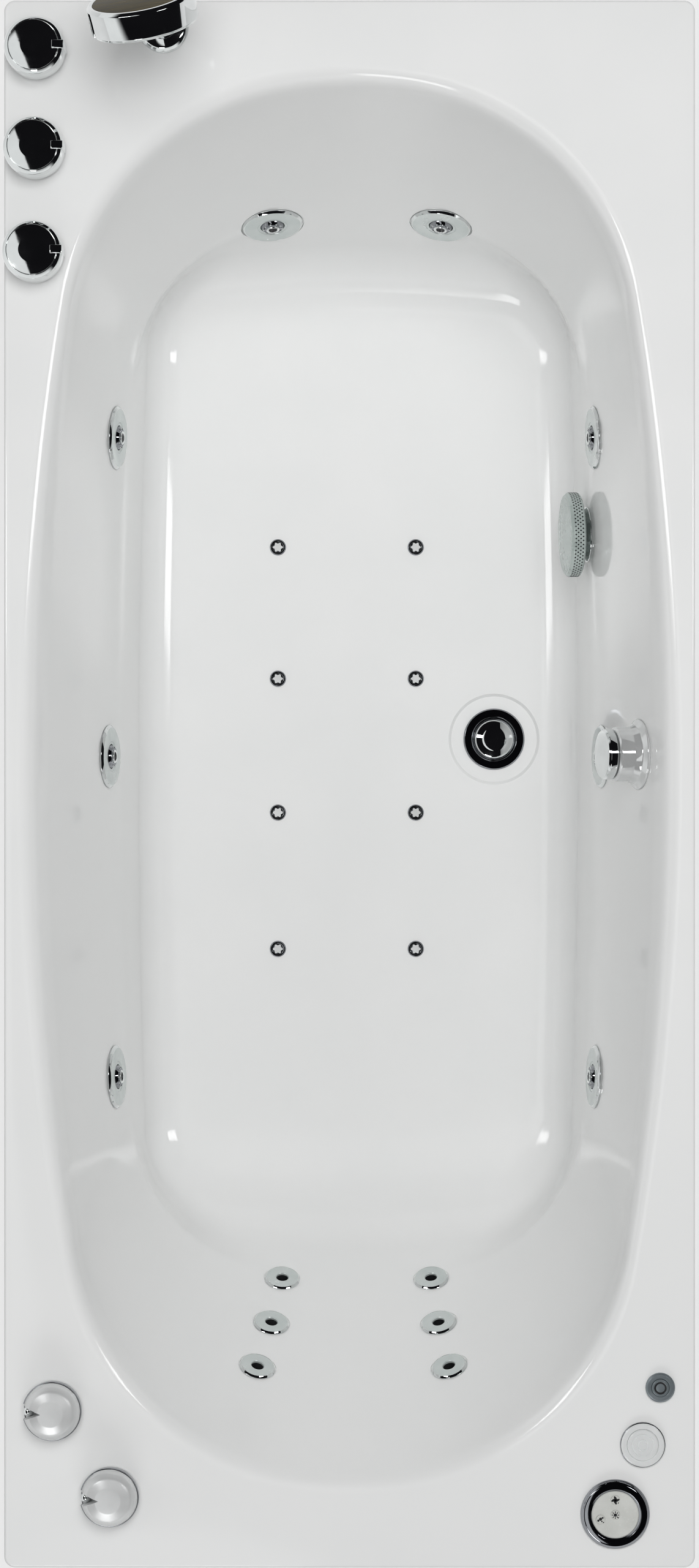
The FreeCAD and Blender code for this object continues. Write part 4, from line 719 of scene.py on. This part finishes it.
def shower():
    """Handle, head and nozzle face of the hand shower."""
    spot = at((*HOLDER, DECK))
    grip = turned(rounded([(0, -140), (9, -140), (11, -138), (11, 20, 8), (13, 44, 8),
                           (13, 88), (0, 88)]), 48)
    handle = finish_mesh("shower_handle", *placed(grip, spot))
    dress(handle, CHROME, "hand_shower", "chrome", "hand_shower")
    lean = Vector((-0.156, 0.85, 0.5)).normalized()
    place = spot @ at((-10, -15, 130), lean)
    rim = [(0, -15), (52, -15), (52, -15.8), (55, -15.8), (57, -13, 1.5), (57, 12, 1.5),
           (54, 15), (51, 15), (50.4, 14.4), (0, 14.4)]
    head = finish_mesh("shower_head", *placed(turned(rounded(rim, 0.5), 128), place))
    dress(head, CHROME, "hand_shower", "chrome")
    plate = turned(rounded([(0, 14.4), (50.3, 14.4), (50.3, 14.9), (0, 15.2)], 0.2), 128)
    back = finish_mesh("shower_back", *placed(plate, place))
    dress(back, BRONZE, "hand_shower", "chrome")
    peg = turned([(0, -15.75), (0.9, -15.75), (1.3, -14.8), (0, -14.8)], 10)
    jets = []
    for radius, count in ((9, 6), (18, 12), (27, 18), (36, 24), (45, 30)):
        for step in range(count):
            turn = 2 * math.pi * step / count
            spot = Matrix.Translation((radius * math.cos(turn), radius * math.sin(turn), 0))
            jets.append(placed(peg, place @ spot))
    jets = finish_mesh("shower_jets", *joined(jets))
    dress(jets, GREY, "hand_shower", "grey_plastic")


shower()

REGULATOR = [(5.05, 6.6), (30, 6.6), (30.8, 8, 1), (30.8, 17, 4), (28.8, 25, 8), (24, 31, 8),
             (14, 34.2, 8), (0, 35), (0, 25), (5.05, 25)]
# The ring below the dome, drawn in dark chrome as a painted dark outline.
SKIRT = [(30, 6.6), (32, 9), (32, 16), (31, 17.4), (30.2, 17.4)]
lathe_piece("regulator_bases", [(0, -38), (9, -38), (9, -22), (15, -22), (15, 0), (30, 0),
                                (30, 4), (28, 6), (5, 6), (5, 24), (0, 24)],
            [on_deck(p) for p in REGULATORS.values()], CHROME, "bath", "chrome",
            ["air_regulator_bodies"])
notch = [(x, y, z) for z in (8, 60) for x, y in ((-10, 0), (-40, 12), (-40, -12))]
NOTCH = (notch, [(0, 1, 2), (3, 5, 4), (0, 3, 4, 1), (1, 4, 5, 2), (2, 5, 3, 0)])
for name, place in REGULATORS.items():
    spot = at((*place, DECK))
    cut = [placed(NOTCH, spot)]
    dome = finish_mesh(name + "_whole", *placed(turned(rounded(REGULATOR, 1), 128), spot))
    dome = carve(dome, cut, "DIFFERENCE", name + "_dome")
    dome.data.shade_smooth()
    dome.data.set_sharp_from_angle(angle=math.radians(SHARP_ANGLE))
    dress(dome, SATIN, name, "chrome", name)
    pearl = finish_mesh(name + "_pearl", *placed(bead(5.8, (-25.2, 0, 13.8)), spot))
    dress(pearl, CHROME, name, "chrome")
    # Dark chrome on the skirt paints the dark outline round the dome: painted shade.
    skirt = finish_mesh(name + "_uncut", *placed(turned(rounded(SKIRT, 0.4), 128), spot))
    skirt = carve(skirt, cut, "DIFFERENCE", name + "_painted_outline_skirt")
    dress(skirt, DARK_CHROME, name, "chrome")

lathe_piece("panel_ring", [(25.6, -28), (28, -28), (28, 0), (37.5, 0), (37.5, 3, 1.5),
                           (34, 7.5, 3), (28, 8, 1), (25.6, 6)],
            [on_deck(PANEL)], DARK_CHROME, "bath", "dark_chrome", ["panel_bezel"])
lathe_piece("start_ring", [(0, -34), (20, -34), (20, 0), (24.5, 0), (24.5, 3, 1), (22.5, 5, 1),
                           (18, 5), (17.08, 4), (17.08, -30), (0, -30)],
            [on_deck(START)], GLASSY, "bath", "chrome", ["button_bezels"])
# A dark chrome edge round the start bezel paints its thin dark outline: painted shade.
lathe_piece("start_painted_outline", [(23.4, 0.2), (24.5, 0.2), (24.5, 3.1, 0.8), (23.4, 4.3, 0.3)],
            [on_deck(START)], DARK_CHROME, "bath", "chrome", [], 0.1)
lathe_piece("start_top", [(0, -18), (17, -18), (17, 5, 0.6), (16, 6, 0.5), (12.4, 6), (12, 5.2),
                          (11, 5.2), (10.6, 6), (6.4, 6), (6, 5.2), (5, 5.2), (4.6, 6), (0, 6)],
            [on_deck(START)], GLASSY, "start_button", "chrome", ["start_button"], 0.2)
lathe_piece("light_ring", [(0, -34), (11, -34), (11, 0), (16, 0), (16, 3, 1), (14, 5, 1),
                           (10.4, 5), (9.48, 4), (9.48, -30), (0, -30)],
            [on_deck(LIGHT)], BLUE_STEEL, "bath", "chrome", [])
lathe_piece("light_top", [(0, -18), (9.4, -18), (9.4, 5, 0.5), (8.6, 6, 0.4), (7, 6), (6, 5),
                          (5, 5.2), (0, 5.8)],
            [on_deck(LIGHT)], BLUE_STEEL, "light_button", "grey_plastic", ["light_button"], 0.2)
lathe_piece("light_groove", [(4.8, 5.1), (7.4, 5.1), (7.4, 6.05), (6.2, 5.5), (4.8, 5.5)],
            [on_deck(LIGHT)], BLACK, "light_button", "black_plastic", [], 0.1)


ICON_LOW, ICON_TALL = 6.95, 0.14  # underside of the icons above the deck, and their height


def disc(radius, spot, wide=1.0, turn=0.0):
    """A thin oval disc lying on a key."""
    spin = Matrix.Rotation(turn, 4, "Z") @ Matrix.Diagonal((wide, 1, 1, 1))
    return placed(rod(radius, 0, ICON_TALL, 20), Matrix.Translation((*spot, ICON_LOW)) @ spin)


def ray(turn, near, far):
    """A thin bar on a key, pointing outwards."""
    bar = cuboid((near, -0.45, ICON_LOW), (far, 0.45, 7.09))
    return placed(bar, Matrix.Rotation(turn, 4, "Z"))


ICONS = {
    "panel_key_1": [disc(1.3, (2.1 * math.cos(t), 2.1 * math.sin(t)), 2.0, t + 0.5)
                    for t in [math.pi * k / 2 for k in range(4)]] + [disc(0.9, (0, 0))],
    "panel_key_2": [ray(math.pi * k / 4, 2.3, 4.0) for k in range(8)] + [disc(1.8, (0, 0))],
    "panel_key_3": [disc(1.2, (-2.4, -1)), disc(1.7, (0, 0.6)), disc(1.0, (2.3, 2)),
                    disc(0.8, (1.4, -1.9))],
}
for name, icon in ICONS.items():
    marks = joined(icon + [disc(0.65, (3.1, -2.9))])
    spot = at((PANEL[0] + KEYS[name][0], PANEL[1] + KEYS[name][1], DECK))
    dress(finish_mesh(name + "_icon", *placed(marks, spot)), BLACK, name, "black_plastic")


# ---------------------------------------------------------------- light, floor and camera


def area(name, place, target, wide, high, power, glossy=True, diffuse=True):
    """A rectangular lamp that points at a target."""
    data = bpy.data.lights.new(name, "AREA")
    data.shape = "RECTANGLE"
    data.size = wide
    data.size_y = high
    data.energy = power
    lamp = bpy.data.objects.new(name, data)
    bpy.context.scene.collection.objects.link(lamp)
    lamp.location = place
    lamp.rotation_euler = (Vector(target) - Vector(place)).to_track_quat("-Z", "Y").to_euler()
    lamp.visible_glossy = glossy
    lamp.visible_diffuse = diffuse


# Soft lamps that mirrors don't show, and then strips that only mirrors show
area("overhead", (0.28, 0.85, 4.4), (0.1, 0.35, 0.5), 2.4, 3.0, 105, glossy=False)
area("fill_left", (-3.0, 0.0, 2.3), (0, 0, 0.4), 1.0, 2.0, 6, glossy=False)
area("fill_right", (3.2, 0.0, 2.3), (0, 0, 0.4), 1.0, 2.0, 6, glossy=False)
area("fill_back", (0, -3.3, 1.9), (0, 0.6, 0.4), 2.0, 0.8, 18, glossy=False)
area("strip_left", (-1.5, 0.45, 2.6), (0, 0.3, 0.4), 0.35, 1.0, 9, diffuse=False)
area("strip_right", (1.7, 0.45, 2.6), (0, 0.3, 0.4), 0.35, 1.0, 9, diffuse=False)
area("box_back", (-0.6, -2.2, 2.2), (0, 0, 0.5), 0.9, 0.7, 11, diffuse=False)


def towards(tree, coords, heading, start, stop):
    """A value from 0 to 1 as the cosine between direction and heading goes from start to stop."""
    facing = tree.nodes.new("ShaderNodeVectorMath")
    facing.operation = "DOT_PRODUCT"
    facing.inputs[1].default_value = Vector(heading).normalized()
    tree.links.new(coords, facing.inputs[0])
    rise = tree.nodes.new("ShaderNodeMapRange")
    rise.interpolation_type = "SMOOTHSTEP"
    rise.inputs["From Min"].default_value = start
    rise.inputs["From Max"].default_value = stop
    tree.links.new(facing.outputs["Value"], rise.inputs["Value"])
    return rise.outputs["Result"]


def combined(tree, operation, first, second):
    """Two values as one."""
    node = tree.nodes.new("ShaderNodeMath")
    node.operation = operation
    tree.links.new(first, node.inputs[0])
    tree.links.new(second, node.inputs[1])
    return node.outputs[0]


def chosen(tree, factor, first, second):
    """The first colour where the factor is 0 and the second where it is 1."""
    mix = tree.nodes.new("ShaderNodeMix")
    mix.data_type = "RGBA"
    for socket, value in (("A", first), ("B", second)):
        if isinstance(value, tuple):
            mix.inputs[socket].default_value = value
        else:
            tree.links.new(value, mix.inputs[socket])
    tree.links.new(factor, mix.inputs["Factor"])
    return mix.outputs["Result"]


def world():
    """A studio: even light, a dark ceiling in mirrors, white to the camera."""
    sky = bpy.data.worlds.new("studio")
    bpy.context.scene.world = sky
    sky.use_nodes = True
    tree = sky.node_tree
    coords = tree.nodes.new("ShaderNodeTexCoord").outputs["Generated"]
    # What mirrors see as bright: the low horizon on one side, and a patch of the ceiling
    low = towards(tree, coords, (0, 0, 1), 0.5, 0.3)
    side = towards(tree, coords, (-0.75, -0.66, 0), -0.25, 0.1)
    window = towards(tree, coords, (-1, -0.35, 0), 0.15, 0.165)
    high = towards(tree, coords, (0, 0, 1), 0.88, 0.9)
    bright = combined(tree, "MAXIMUM", combined(tree, "MULTIPLY", low, side),
                      combined(tree, "MULTIPLY", window, high))
    room = chosen(tree, bright, (0.006, 0.006, 0.007, 1), (0.85, 0.86, 0.86, 1))
    path = tree.nodes.new("ShaderNodeLightPath")
    even = chosen(tree, path.outputs["Is Glossy Ray"], (0.19, 0.19, 0.19, 1), room)
    seen = chosen(tree, path.outputs["Is Camera Ray"], even, (1, 1, 1, 1))
    tree.links.new(seen, tree.nodes["Background"].inputs["Color"])


world()


FLOOR_GLOW = 0.65  # share of plain white in the floor, to the camera and in mirrors


def pale_floor():
    """A matt floor that looks pale to the camera and in mirrors, and keeps its shadows."""
    mat, tree, shader = new_material("ground")
    factor = spread(tree, noise(tree, 60.0), 0, 1)
    tree.links.new(mix_colours(tree, factor, (0.78, 0.78, 0.78), (0.82, 0.82, 0.82)),
                   shader.inputs["Base Color"])
    shader.inputs["Roughness"].default_value = 0.7
    path = tree.nodes.new("ShaderNodeLightPath")
    seen = combined(tree, "MAXIMUM", path.outputs["Is Camera Ray"], path.outputs["Is Glossy Ray"])
    share = tree.nodes.new("ShaderNodeMath")
    share.operation = "MULTIPLY"
    share.inputs[1].default_value = FLOOR_GLOW
    tree.links.new(seen, share.inputs[0])
    glow = tree.nodes.new("ShaderNodeEmission")
    both = tree.nodes.new("ShaderNodeMixShader")
    tree.links.new(share.outputs[0], both.inputs[0])
    tree.links.new(shader.outputs[0], both.inputs[1])
    tree.links.new(glow.outputs[0], both.inputs[2])
    tree.links.new(both.outputs[0], tree.nodes["Material Output"].inputs["Surface"])
    return mat


ground = finish_mesh("ground", *cuboid((-9000, -9000, -20), (9000, 9000, -0.5)))
ground.data.materials.append(pale_floor())

SENSOR, OVER_DECK, BATH_LENGTH = 36, 3.3, 1.7  # the frame's long side shows the bath's length
lens = bpy.data.cameras.new("camera")
lens.lens = SENSOR * OVER_DECK / BATH_LENGTH
lens.shift_x = -0.0553
lens.clip_end = 50
camera = bpy.data.objects.new("camera", lens)
bpy.context.scene.collection.objects.link(camera)
camera.location = (0.094, 0, DECK * MM + OVER_DECK)
bpy.context.scene.camera = camera
bpy.context.scene.view_settings.view_transform = "Standard"
